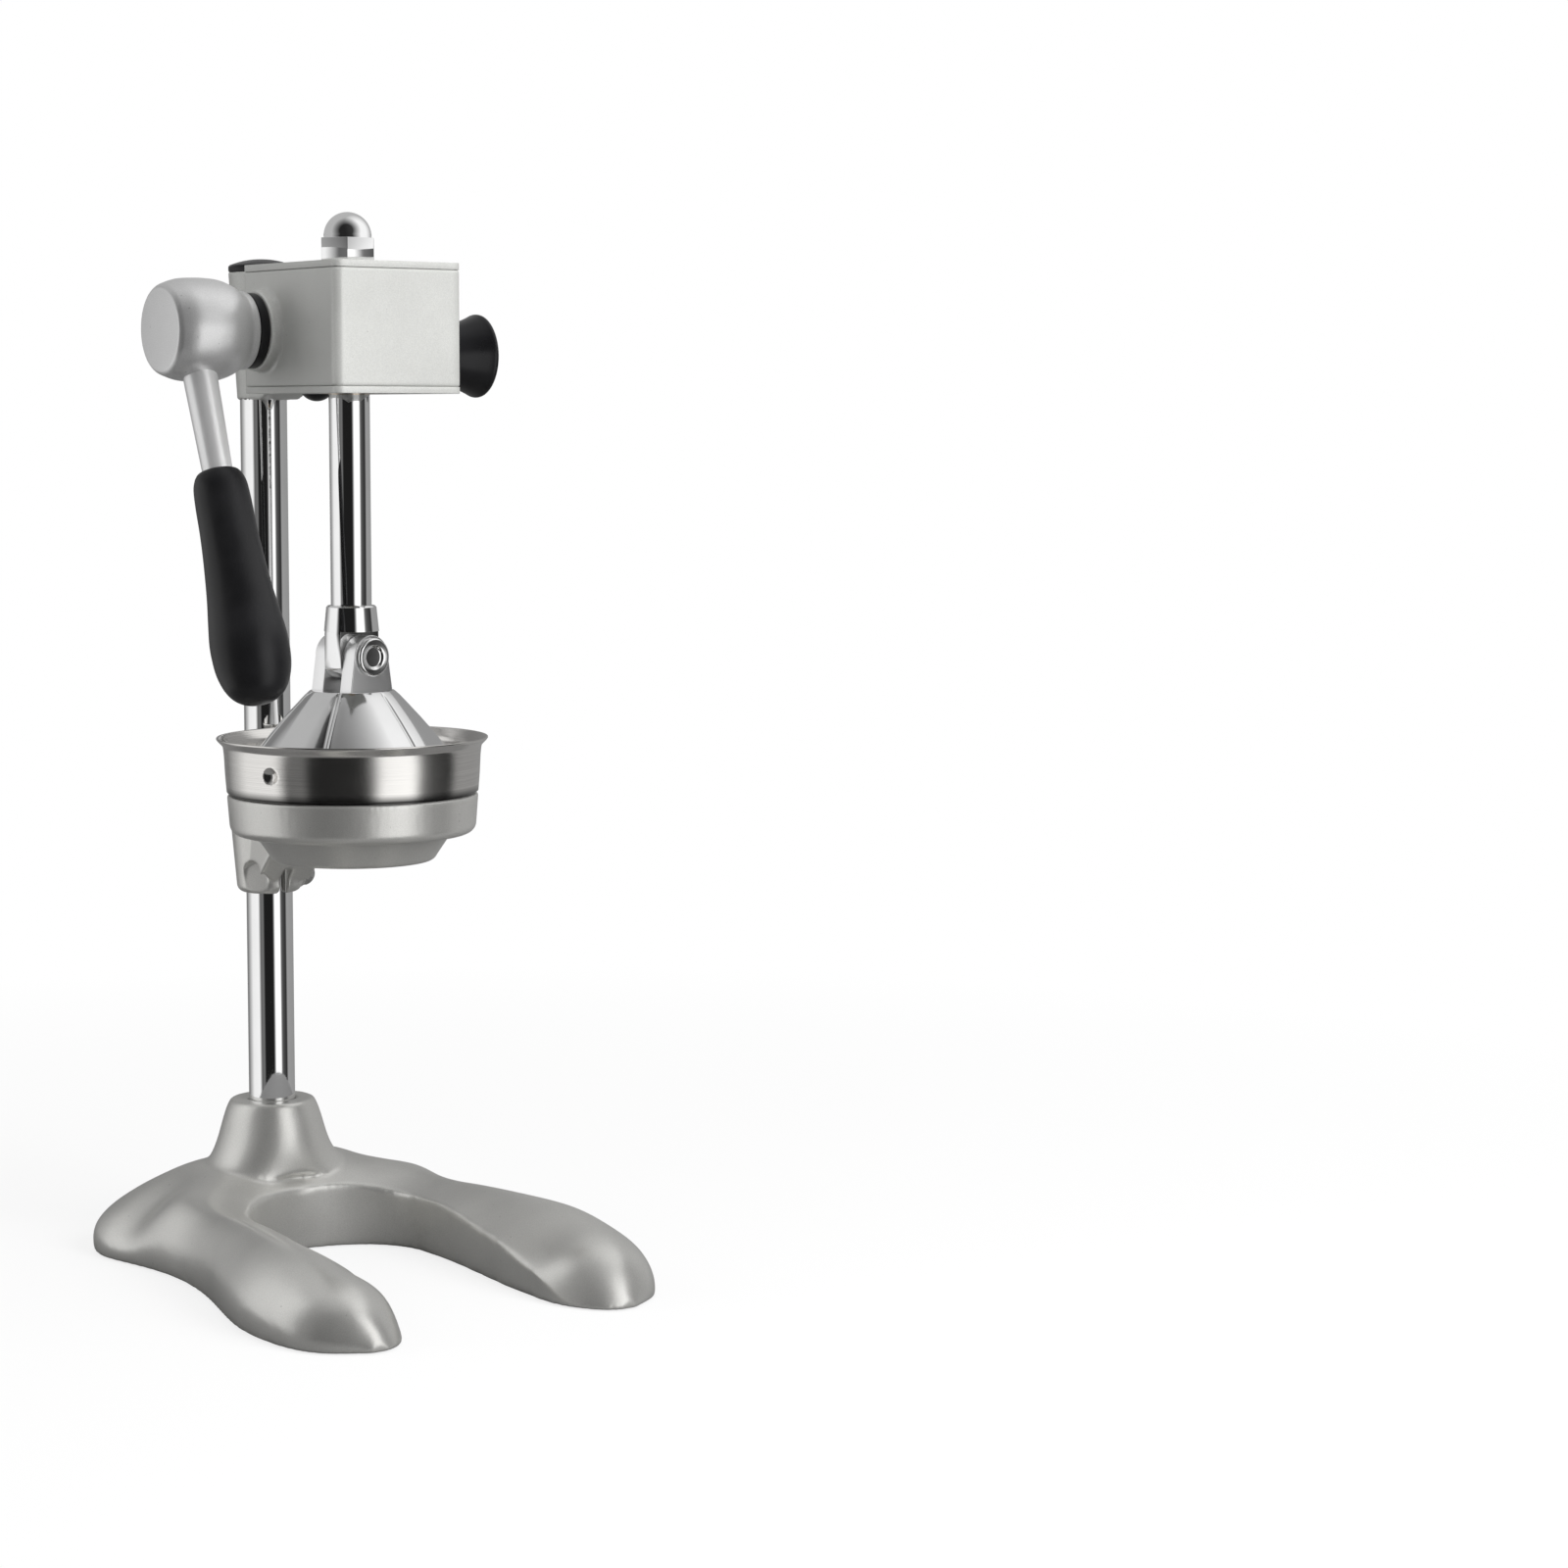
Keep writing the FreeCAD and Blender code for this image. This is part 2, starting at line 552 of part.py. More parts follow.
def make_covers():
    """The top and bottom plates of the gear box, their screws and the plunger's guide bushes."""
    half, front, back = size("box_half_width"), size("box_front"), size("box_back")
    thick, bottom = size("cover_thick"), size("box_bottom")
    top = bottom + size("box_height") - thick
    guide, long = size("guide_radius"), size("guide_length")
    bore = size("plunger_radius") + fit
    sink = size("screw_sink")
    for name, level in (("housing_top_cover", top), ("housing_bottom_cover", bottom)):
        body = new_body(name)
        plate = new_sketch(body, "plate_outline", "XY_Plane", level)
        box_outline(plate, half, front, back)
        extruded(body, "plate", plate, thick)
        bored(body, "guide_hole", 0, 0, guide + fit, level - 5, level + thick + 5)
        for number, (x, y) in enumerate(screw_spots()):
            bored(body, "screw_hole_%d" % number, x, y, 2.2, level - 5, level + thick + 5)
            seat = (level + thick - sink, level + thick + 5) if level is top else (level - 5, level + sink)
            bored(body, "screw_seat_%d" % number, x, y, 3.3, *seat)
        if name == "housing_bottom_cover":
            bored(body, "plug_hole", 0, size("plug_back"), 4, level - 5, level + thick + 5)
        NODES.append(body)
    ring_body("guide_bush_upper", guide, bore, top + thick - long, top + thick)
    ring_body("guide_bush_lower", guide, bore, bottom, bottom + long)
    screw = new_body("screw_pattern")
    seat = fit - sink
    revolved(screw, "turned", [(0, -9), (size("cover_thread"), -9), (size("cover_thread"), seat), (3.1, seat),
                               (3.1, -0.1), (0, -0.1)])
    spots = [Placement(Vector(x, y, float(top + thick)), Rotation()) for x, y in screw_spots()]
    spots += [Placement(Vector(x, y, float(bottom)), UPSIDE_DOWN) for x, y in screw_spots()]
    NODES.append(group("cover_screws", screw, spots))
    plug = new_body("bottom_plug")
    revolved(plug, "turned", [(0, -3.4), dome(7, 3.4), (7, 0), (3.9, 0), (3.9, 6), (0, 6)])
    place(plug, 0, size("plug_back"), bottom)
    NODES.append(plug)


def make_drive():
    """The pinion shaft in its two bushes, the pinion and the pins that lock it and the hub."""
    y, z = size("pinion_back"), size("pinion_height")
    shaft, bush = size("shaft_radius"), size("bush_radius")
    half, boss = size("box_half_width"), size("shaft_boss_face")
    left = ring_body("shaft_bush_left", bush, shaft + fit, boss, size("boss_ring_face"), 0, y, z, TO_LEFT)
    right = ring_body("shaft_bush_right", bush, shaft + fit, boss, half - 3, 0, y, z, TO_RIGHT)
    rod = new_body("pinion_shaft")
    revolved(rod, "turned", [(0, -(half - 4)), (shaft - 1, -(half - 4)), (shaft, -(half - 5)),
                             (shaft, size("hub_face") - 5), (shaft - 1, size("hub_face") - 4),
                             (0, size("hub_face") - 4)])
    bored(rod, "pin_hole", 0, -10.5, size("pin_radius") + fit, -20, 20, "XZ_Plane")
    place(rod, 0, y, z, TO_LEFT)
    NODES.append(rod)
    ring_body("hub_washer", size("hub_washer_radius"), shaft + 0.3, size("boss_ring_face"),
              size("hub_neck_face"), 0, y, z, TO_LEFT)
    pin = new_body("pinion_pin")
    sketch = new_sketch(pin, "pin_circle", "XY_Plane", -10.6)
    add_circle(sketch, 0, 0, size("pin_radius"))
    extruded(pin, "pin", sketch, 21.2)
    place(pin, 10.5, y, z, Rotation(Vector(1, 0, 0), 90))
    NODES.append(pin)
    make_pinion()


def involute(base, roll):
    """A point of the involute of a base circle: its radius, and the angle it has turned through."""
    return base * math.sqrt(1 + roll * roll), roll - math.atan(roll)


def make_pinion():
    """A spur pinion with a round hub, made with one involute tooth and a pattern."""
    body = new_body("pinion")
    module, teeth = SIZES["gear_module"], int(SIZES["gear_teeth"])
    pitch = size("gear_module") * size("gear_teeth") / 2
    pressure = math.radians(25)
    base = pitch.value * math.cos(pressure)
    tip, root = pitch.value + 0.95 * module, pitch.value - 1.15 * module
    half_tooth = (math.pi * module / 2 - SIZES["gear_backlash"]) / 2 / pitch.value
    start = half_tooth + math.tan(pressure) - pressure
    wide = size("gear_face")
    blank = new_sketch(body, "blank_circle", "XY_Plane", -wide / 2)
    add_circle(blank, 0, 0, pitch - 1.15 * size("gear_module"))
    extruded(body, "blank", blank, wide)
    collar = new_sketch(body, "collar_circle", "XY_Plane", -wide / 2 - 7)
    add_circle(collar, 0, 0, 11)
    extruded(body, "collar", collar, 7.5)
    flank = []
    for radius in (max(base, root + 0.3), (root + tip) / 2 + 0.4, tip):
        roll = math.sqrt(max((radius / base) ** 2 - 1, 0))
        reach, turn = involute(base, roll)
        flank.append((reach, start - turn))
    upper = [Vector(r * math.cos(a), r * math.sin(a), 0) for r, a in flank]
    lower = [Vector(p.x, -p.y, 0) for p in upper]
    inside = root - 0.6
    foot = Vector(inside * math.cos(flank[0][1] * 1.06), inside * math.sin(flank[0][1] * 1.06), 0)
    mirror_foot = Vector(foot.x, -foot.y, 0)
    tooth = new_sketch(body, "tooth_outline", "XY_Plane", -wide / 2)
    edges = [Part.LineSegment(foot, upper[0]), Part.Arc(upper[0], upper[1], upper[2]),
             Part.Arc(upper[2], Vector(tip, 0, 0), lower[2]), Part.Arc(lower[2], lower[1], lower[0]),
             Part.LineSegment(lower[0], mirror_foot), Part.LineSegment(mirror_foot, foot)]
    for edge in edges:
        tooth.addGeometry(edge, False)
    cog = extruded(body, "tooth", tooth, wide)
    doc.recompute()
    pattern = body.newObject("PartDesign::PolarPattern", "teeth")
    pattern.Originals = [cog]
    pattern.Axis = (tooth, ["N_Axis"])
    pattern.Angle = 360
    pattern.Occurrences = teeth
    body.Tip = pattern
    doc.recompute()
    bored(body, "shaft_bore", 0, 0, size("shaft_radius") + fit, -30, 30)
    bored(body, "pin_hole", 0, -10.5, size("pin_radius") + fit, -20, 20, "YZ_Plane")
    place(body, 0, size("pinion_back"), size("pinion_height"), TO_LEFT.multiply(
        Rotation(Vector(0, 0, 1), -90)))
    NODES.append(body)


def make_plunger():
    """The chromed plunger rod with its rack, its dome nut, and the socket on its foot."""
    rod = new_body("plunger")
    radius, thread = size("plunger_radius"), size("thread_radius")
    top = size("box_bottom") + size("box_height")
    tip = top + size("nut_length") - 7
    foot = size("plunger_foot")
    revolved(rod, "turned", [(0, foot), (radius - 2.5, foot), (radius - 2.5, size("socket_top") - 2),
                             (radius, size("socket_top") - 2), (radius, top), (thread, top),
                             (thread, tip), (0, tip)])
    module = SIZES["gear_module"]
    line = SIZES["rack_pitch_line"]
    slope = math.tan(math.radians(25))
    flat, root = line + 0.95 * module, line - 1.2 * module
    high = SIZES["pinion_height"] + SIZES["rack_first"] * math.pi * module
    span = math.pi * module
    middle, deep = span / 4, (line - root) * slope
    over = (SIZES["plunger_radius"] + 2 - line) * slope
    gap = new_sketch(rod, "gap_outline", "YZ_Plane")
    corners = [(root, high - middle + deep), (SIZES["plunger_radius"] + 2, high - middle - over),
               (SIZES["plunger_radius"] + 2, high + middle + over), (root, high + middle - deep)]
    add_outline(gap, corners)
    cut = extruded(rod, "rack_gap", gap, 30, "Pocket", both=True)
    doc.recompute()
    pattern = rod.newObject("PartDesign::LinearPattern", "rack")
    pattern.Originals = [cut]
    pattern.Direction = (gap, ["V_Axis"])
    pattern.Reversed = True
    count = int(SIZES["rack_gaps"])
    pattern.Length = (count - 1) * span
    pattern.Occurrences = count
    rod.Tip = pattern
    doc.recompute()
    face = new_sketch(rod, "flat_outline", "YZ_Plane")
    add_outline(face, [(flat, high - (count - 1) * span - middle - 1), (flat + 6, high - (count - 1) * span - middle - 1),
                       (flat + 6, high + middle + 1), (flat, high + middle + 1)])
    extruded(rod, "rack_face", face, 30, "Pocket", both=True)
    NODES.append(rod)

    nut = new_body("dome_nut")
    hexes = new_sketch(nut, "hex_outline", "XY_Plane", top)
    hexagon(hexes, size("nut_flats") / 2)
    extruded(nut, "hex", hexes, size("nut_hex_height"))
    wide = size("nut_dome_radius")
    shoulder = top + size("nut_hex_height")
    end = top + size("nut_length")
    rise = end - shoulder - 1.5
    revolved(nut, "dome", [(0, shoulder - 1), (wide, shoulder - 1), (wide, shoulder + 1.5),
                           dome(wide, rise), (0, end)])
    bored(nut, "thread_hole", 0, 0, thread + fit, top - 5, tip + 1)
    NODES.append(nut)
    make_socket()


def make_socket():
    """The socket on the plunger's foot: a tapered barrel above a flat, round-ended tang."""
    body = new_body("plunger_socket")
    top, shoulder = size("socket_top"), size("socket_shoulder")
    pivot, tang = size("pivot_height"), size("tang_radius")
    low = pivot - tang
    wide = size("socket_foot_radius")
    revolved(body, "barrel", [(0, low), (wide, low), (wide, shoulder - 1),
                              (size("socket_top_radius"), top - 0.8),
                              (size("socket_top_radius") - 0.8, top), (0, top)])
    half = size("tang_half")
    flats = new_sketch(body, "flats_outline", "YZ_Plane")
    add_outline(flats, [(half, low - 1), (wide + 1, low - 1), (wide + 1, shoulder), (half, shoulder)])
    add_outline(flats, [(-wide - 1, low - 1), (-half, low - 1), (-half, shoulder), (-wide - 1, shoulder)])
    extruded(body, "flats", flats, 40, "Pocket", both=True)
    ends = new_sketch(body, "ends_outline", "XZ_Plane")
    for side in (-1, 1):
        far = side * (wide + 1)
        add_outline(ends, [(side * tang, shoulder), (side * tang, pivot), Bend(tang, side), (0, low),
                           (0, low - 1), (far, low - 1), (far, shoulder)])
    extruded(body, "ends", ends, 40, "Pocket", both=True)
    doc.recompute()
    bored(body, "rod_hole", 0, 0, size("plunger_radius") + fit, size("socket_top") - 2, top + 5)
    bored(body, "stub_hole", 0, 0, size("plunger_radius") - 2.5 + fit, size("plunger_foot"), top + 1)
    bored(body, "pin_hole", 0, pivot, size("pivot_pin_radius") + fit, -30, 30, "XZ_Plane")
    place(body, 0, 0, 0, PIVOT_TURN)
    NODES.append(body)

    pin = new_body("pivot_pin")
    ear, head = size("ear_outer") + 0.2, size("pin_head_thick")
    across, neck = size("pivot_pin_radius"), size("pin_head_radius")
    revolved(pin, "turned", [(0, -ear - 2.6), (across - 0.6, -ear - 2.6), (across, -ear - 2), (across, ear),
                             (neck, ear), (neck, ear + head - 0.8), (neck - 0.8, ear + head),
                             (4.6, ear + head), (0, ear + head - 1.2)])
    place(pin, 0, 0, pivot, PIVOT_TURN.multiply(Rotation(Vector(1, 0, 0), 90)))
    NODES.append(pin)
    clip = new_body("pivot_clip")
    revolved(clip, "turned", [(across + fit, -ear - 1.4), (across + 3, -ear - 1.4), (across + 3, -ear),
                              (across + fit, -ear)])
    place(clip, 0, 0, pivot, PIVOT_TURN.multiply(Rotation(Vector(1, 0, 0), 90)))
    NODES.append(clip)


def make_press_cone():
    """The hollow chromed press cone with fluted flanks and two ears for the pivot pin."""
    body = new_body("press_cone")
    top, foot = size("cone_top"), size("cone_foot")
    small, large, wall = size("cone_top_radius"), size("cone_foot_radius"), size("cone_wall")
    skirt, side = size("cone_skirt"), size("cone_wall") * 1.3
    revolved(body, "shell", [
        (0, top - 4), (small - side - 1, top - 4), (large - side, foot), (large - side, foot - skirt),
        (large, foot - skirt), (large, foot), (small + 1.2, top - 1.4), Bend(2, 1), (small - 0.4, top),
        (0, top)])
    doc.recompute()
    rise, run = float(top - foot), float(large - small)
    slant = math.atan2(run, rise)
    length = math.hypot(rise, run)
    upper, lower = 7.5, 21.0
    depth = SIZES["flute_depth"]
    opening = math.atan2(lower - upper, length)
    cutter = body.newObject("PartDesign::SubtractiveCone", "flute")
    cutter.Radius1 = lower
    cutter.Radius2 = upper
    cutter.Height = length + 4
    cutter.Angle = 360
    lean = slant + opening
    nearest = Vector(float(large), 0, float(foot)) - Vector(math.cos(slant), 0, math.sin(slant)) * depth
    centre = nearest + Vector(math.cos(lean), 0, math.sin(lean)) * lower
    cutter.AttachmentOffset = Placement(centre, Rotation(Vector(0, 1, 0), -math.degrees(lean)))
    cutter.Placement = cutter.AttachmentOffset
    doc.recompute()
    axis_sketch = [item for item in doc.Objects if item.Label == "shell_profile"
                   or item.Name.startswith("shell_profile")][-1]
    polar(body, "flutes", cutter, size("flutes"), axis_sketch)
    doc.recompute()
    inner, outer = size("tang_half") + size("ear_gap"), size("ear_outer")
    pivot, ear = size("pivot_height"), size("ear_radius")
    for name, side in (("front_ear", -1), ("back_ear", 1)):
        start = inner if side < 0 else -outer
        plate = new_sketch(body, name + "_outline", "XZ_Plane", start)
        add_outline(plate, [(-ear - 2.6, top - 1), (ear + 2.6, top - 1), (ear, pivot),
                            Bend(ear, -1), (0, pivot + ear), Bend(ear, -1), (-ear, pivot)])
        extruded(body, name, plate, outer - inner)
    bored(body, "pin_hole", 0, pivot, size("pivot_pin_radius") + fit, -30, 30, "XZ_Plane")
    place(body, 0, 0, 0, PIVOT_TURN)
    NODES.append(body)


def make_strainer():
    """The slotted strainer cone that the half fruit sits on, inside the bowl."""
    body = new_body("strainer_cone")
    wall, floor = size("strainer_wall"), bowl_floor() + size("bowl_wall")
    top, foot = size("cone_top"), size("cone_foot")
    small, large = size("cone_top_radius"), size("cone_foot_radius")
    clear = size("cone_wall") * 1.3 + size("peel_gap") * 1.3
    base_radius = large - clear
    crown = size("cone_top") - 4 - size("peel_gap")
    tip_radius = small - clear + (large - small) * 0.27
    flange = size("strainer_flange")
    revolved(body, "shell", [
        (0, crown - wall), (tip_radius - 2, crown - wall), (base_radius - wall * 1.3, foot),
        (base_radius - wall * 1.3, floor), (flange, floor), (flange, floor + wall),
        (base_radius, floor + wall), (base_radius, foot), (tip_radius, crown - 2), Bend(3, 1),
        (tip_radius - 2.5, crown), (0, crown)])
    doc.recompute()
    slot = new_sketch(body, "slot_outline", "YZ_Plane", 0)
    half = size("slot_width") / 2
    add_outline(slot, [(-half, floor + 6), (half, floor + 6), (half, crown - 8), (-half, crown - 8)])
    cut = extruded(body, "slot", slot, large + 5, "Pocket", back=True)
    doc.recompute()
    polar(body, "slots", cut, size("strainer_slots"), slot)
    NODES.append(body)


def bowl_floor():
    """The underside of the bowl's flat outer floor, just above the bracket's."""
    return size("ring_foot") + size("bracket_wall") + size("bowl_gap")


def make_bowl():
    """The spun stainless bowl: flared lip, step on the bracket's ring, sunk floor and outlet."""
    body = new_body("juice_bowl")
    wall, rim, lip = size("bowl_wall"), size("rim_height"), size("rim_radius")
    seam, seam_radius = size("seam_height"), size("bowl_seam_radius")
    sink, floor = size("bowl_sink_radius"), bowl_floor()
    outlet, low = size("bowl_outlet_radius"), size("funnel_foot") - size("bowl_outlet_drop")
    upper = size("bowl_top_radius")
    well = size("funnel_radius") - size("bracket_wall") - 1
    well_foot = size("funnel_foot_radius") - size("bracket_wall") - 1
    well_floor = size("funnel_foot") + size("bracket_wall") + size("bowl_gap")
    revolved(body, "spun", [
        (outlet, low), (outlet + wall, low), (outlet + wall, well_floor), (well_foot, well_floor + 1),
        (well, floor), (sink - 2, floor), Bend(2, -1), (sink, floor + 2), (sink, seam),
        (seam_radius, seam), (upper, rim - 6), Bend(7, 1), (lip, rim - wall), (lip, rim), (lip - 0.6, rim),
        Bend(8, -1), (upper - wall, rim - 5.6), (seam_radius - wall, seam + wall),
        (sink - wall, seam + wall), (sink - wall, floor + 2.2), Bend(1, 1), (sink - wall - 1, floor + wall),
        (well - 0.6, floor + wall), (well_foot - 0.8, well_floor + 1 + wall),
        (outlet + wall, well_floor + wall), (outlet, well_floor + wall - 0.6)])
    doc.recompute()
    NODES.append(body)


def make_bracket():
    """The cast bowl bracket: ring, funnel, arm and the split clamp round the column."""
    body = new_body("bowl_bracket")
    seam, foot = size("seam_height"), size("ring_foot")
    outer, outer_foot = size("bowl_seam_radius"), size("ring_foot_radius")
    funnel, funnel_foot = size("funnel_radius"), size("funnel_foot_radius")
    low, spout = size("funnel_foot"), size("spout_radius")
    inner = size("bowl_sink_radius") + size("bowl_gap")
    wall = size("bracket_wall")
    revolved(body, "ring", [
        (spout, low), (funnel_foot - 3, low), Bend(4, -1), (funnel_foot, low + 2.4), (funnel, foot),
        (outer_foot - 5, foot), Bend(5, -1), (outer_foot, foot + 5), (outer, seam - 0.9),
        (outer - 1, seam), (inner, seam), (inner, foot + wall), (funnel - wall, foot + wall),
        (funnel_foot - wall, low + wall), (spout, low + wall)])
    arm = new_sketch(body, "arm_outline", "YZ_Plane")
    add_outline(arm, [(outer - 12, foot + 3), (outer - 8, low + 2), (column_y - 14, size("clamp_foot") + 6),
                      (column_y, size("clamp_foot") + 6), (column_y, size("clamp_top") - 2),
                      (outer - 1, seam - 2), (outer - 2.5, foot + 6)])
    extruded(body, "arm", arm, 2 * size("arm_half_width"), both=True)
    doc.recompute()
    bottom, top = size("clamp_foot"), size("clamp_top")
    profile = new_sketch(body, "clamp_profile", "YZ_Plane")
    add_outline(profile, [(column_y, bottom), (column_y + size("clamp_foot_radius") - 4, bottom),
                          Bend(4, -1), (column_y + size("clamp_foot_radius"), bottom + 4),
                          (column_y + size("clamp_top_radius"), top - 10),
                          (column_y + size("clamp_top_radius"), top), (column_y, top)])
    axis = new_sketch(body, "clamp_axis", "YZ_Plane")
    axis.addGeometry(Part.LineSegment(Vector(float(column_y), 0, 0), Vector(float(column_y), 100, 0)), False)
    pin_down(axis, 0, 1, (column_y, 0))
    pin_down(axis, 0, 2, (column_y, 100))
    clamp = body.newObject("PartDesign::Revolution", "clamp")
    clamp.Profile = profile
    clamp.ReferenceAxis = (axis, ["Edge1"])
    clamp.Angle = 360
    body.Tip = clamp
    doc.recompute()
    bored(body, "column_bore", 0, column_y, size("column_radius") + fit, bottom - 5, top + 10)
    hollow = new_sketch(body, "hollow_circle", "XY_Plane", foot + wall)
    add_circle(hollow, 0, 0, inner)
    extruded(body, "hollow", hollow, 40, "Pocket", back=True)
    slit = new_sketch(body, "slit_outline", "XY_Plane", bottom - 5)
    half = size("clamp_slit") / 2
    add_outline(slit, [(-half, column_y - 30), (half, column_y - 30), (half, column_y - 8),
                       (-half, column_y - 8)])
    extruded(body, "slit", slit, size("slit_height") + 5, "Pocket", back=True)
    arch_recess(body, bottom)
    level, thread = size("clamp_screw_height"), size("clamp_screw_radius")
    seat = size("clamp_screw_boss")
    boss = new_sketch(body, "screw_boss_circle", "YZ_Plane", size("column_radius") + 1)
    add_circle(boss, column_y, level, size("clamp_screw_head") + 0.8)
    extruded(body, "screw_boss", boss, seat - size("column_radius") - 1)
    bored(body, "screw_hole", column_y, level, thread + fit, 5, 60, "YZ_Plane")
    NODES.append(body)
    screw = new_body("bracket_screw")
    head = size("clamp_screw_head")
    revolved(screw, "turned", [(0, size("column_radius") + 0.3), (thread, size("column_radius") + 0.3),
                               (thread, seat), (head, seat), (head, seat + 2.6), Bend(6.4, -1),
                               (head - 3.2, seat + 6.6), (0, seat + 6.6)])
    place(screw, 0, column_y, level, TO_RIGHT)
    NODES.append(screw)


def arch_recess(body, bottom):
    """A shallow recess with a round top in the clamp's front left face."""
    turn = math.radians(-53)
    depth = size("clamp_foot_radius") - 1.5
    half, top = size("arch_half_width"), bottom + size("arch_height") - size("arch_half_width")
    arch = new_sketch(body, "arch_outline", "XZ_Plane", depth * math.cos(turn) - column_y)
    across = float(depth) * math.sin(turn)
    arch.AttachmentOffset = Placement(Vector(across, 0, arch.AttachmentOffset.Base.z),
                                      Rotation(Vector(0, 1, 0), math.degrees(turn)))
    add_outline(arch, [(-half, bottom - 2), (half, bottom - 2), (half, top),
                       Bend(half, -1), (0, top + half), Bend(half, -1), (-half, top)])
    extruded(body, "arch", arch, 8, "Pocket", back=True)


def make_lever():
    """The hub on the pinion shaft, the tapered lever rod and its moulded grip."""
    y, z = size("pinion_back"), size("pinion_height")
    hub = new_body("hub")
    face, belly, neck = size("hub_face"), size("hub_belly_radius"), size("hub_neck_radius")
    near = size("hub_neck_face")
    revolved(hub, "turned", [
        (0, near), (neck, near), (neck, near + 5), Curve((belly.value - 1.9, 54.5), (belly.value - 0.25, 62),
                                                         (belly.value - 0.3, 74)),
        (size("hub_face_radius") + 0.6, face - 1), (size("hub_face_radius"), face), (0, face)])
    doc.recompute()
    bored(hub, "shaft_bore", 0, 0, size("shaft_radius") + fit, near - 5, face - 3.5)
    tilt = SIZES["lever_tilt"]
    doc.recompute()
    socket = hub.newObject("PartDesign::SubtractiveCylinder", "lever_socket")
    socket.Radius = float(size("rod_root_radius") + fit)
    socket.setExpression("Radius", (size("rod_root_radius") + fit).formula)
    socket.Height = 40
    swing = TO_LEFT.inverted().multiply(lever_turn())
    socket.Placement = Placement(Vector(0, 0, float(size("lever_offset"))), swing)
    bored(hub, "screw_hole", 0, HUB_SCREW_AT, size("hub_screw_radius") + fit, -30, -5, "XZ_Plane")
    place(hub, 0, y, z, TO_LEFT)
    doc.recompute()
    NODES.append(hub)

    rod = new_body("lever_rod")
    root, tip, start = size("rod_root_radius"), size("rod_tip_radius"), size("grip_start")
    core, long = size("grip_core_radius"), size("grip_length")
    revolved(rod, "turned", [(0, size("shaft_radius") + 0.3), (root, size("shaft_radius") + 0.3), (root, belly + 1),
                             (tip, start + 3), (core, start + 3), (core, start + long - 14),
                             (0, start + long - 14)])
    place(rod, -size("lever_offset"), y, z, lever_turn())
    NODES.append(rod)
    grip = new_body("grip")
    end = long.value
    revolved(grip, "moulded", [
        (core + fit, start + 3), (tip + 0.2, start + 3), (tip + 0.2, start),
        Curve((9.6, start.value + 1.6), (12.0, start.value + 7), (12.8, start.value + 18),
              (13.3, start.value + 38), (15.2, start.value + 60), (17.6, start.value + 77),
              (17.5, start.value + 88), (14.4, start.value + 101), (8.5, start.value + 107.8)),
        (0, start + long), (0, start + long - 13.8), (core + fit, start + long - 13.8)])
    place(grip, -size("lever_offset"), y, z, lever_turn())
    NODES.append(grip)
    screw = new_body("hub_screw")
    wide = size("hub_screw_radius")
    revolved(screw, "turned", [(0, 0), (wide, 0), (wide, 8), (0, 8)])
    place(screw, -HUB_SCREW_AT, y + size("shaft_radius") + 0.3, z, Rotation(Vector(1, 0, 0), -90))
    NODES.append(screw)


def lever_turn():
    """Turns +Z to the way the lever hangs: down, and forward by its tilt."""
    return Rotation(Vector(1, 0, 0), 180 - SIZES["lever_tilt"])


def make_lock():
    """The friction lock: a flared knob on a screw that presses a pad against the plunger."""
    z, half = size("lock_height"), size("box_half_width")
    screw_radius, travel = size("lock_screw_radius"), size("lock_travel")
    pad_start = size("plunger_radius") + travel + 0.4
    pad = new_body("lock_pad")
    revolved(pad, "turned", [(0, pad_start), (size("lock_pad_radius"), pad_start),
                             (size("lock_pad_radius"), pad_start + size("lock_pad_length")),
                             (0, pad_start + size("lock_pad_length"))])
    place(pad, 0, 0, z, TO_RIGHT)
    NODES.append(pad)
    screw = new_body("lock_screw")
    start, end = pad_start + size("lock_pad_length"), size("knob_face") - 8
    revolved(screw, "turned", [(0, start), (screw_radius - 0.6, start), (screw_radius, start + 0.8),
                               (screw_radius, end), (0, end)])
    place(screw, 0, 0, z, TO_RIGHT)
    NODES.append(screw)
    knob = new_body("lock_knob")
    face, wide, neck = size("knob_face"), size("knob_radius"), size("knob_neck_radius")
    near = half + travel + 1.2
    revolved(knob, "moulded", [
        (screw_radius + fit, near), (neck, near), (neck + 0.6, near + 5),
        Curve((12.6, 50.5), (15.6, 58)), (wide - 0.5, face - 4), Curve((wide.value, face.value - 2)),
        (wide - 1.2, face), (wide - 5, face), (0, face - 2), (0, size("knob_face") - 7.9),
        (screw_radius + fit, size("knob_face") - 7.9)])
    place(knob, 0, 0, z, TO_RIGHT)
    NODES.append(knob)


def make_set_screws():
    """Headless screws that hold the housing's sleeve on the column, from behind."""
    body = new_body("set_screw_pattern")
    wide = size("set_screw_radius")
    revolved(body, "turned", [(0, 0), (wide, 0), (wide, 3.6), (0, 3.6)])
    place(body, 0, column_y + size("column_radius") + 0.3, 0, Rotation(Vector(1, 0, 0), -90))
    NODES.append(group("sleeve_screws", body, [Placement(Vector(0, 0, level), Rotation())
                                               for level in SLEEVE_SCREW_LEVELS]))


for make in (make_base, make_rubber_feet, make_column, make_housing, make_covers, make_drive, make_plunger,
             make_press_cone, make_strainer, make_bowl, make_bracket, make_lever, make_lock,
             make_set_screws):
    make()
    doc.recompute()
    for item in doc.Objects:
        if "Invalid" in item.State or "Error" in item.State:
            raise RuntimeError("%s failed in %s: %s" % (item.Name, make.__name__, item.State))

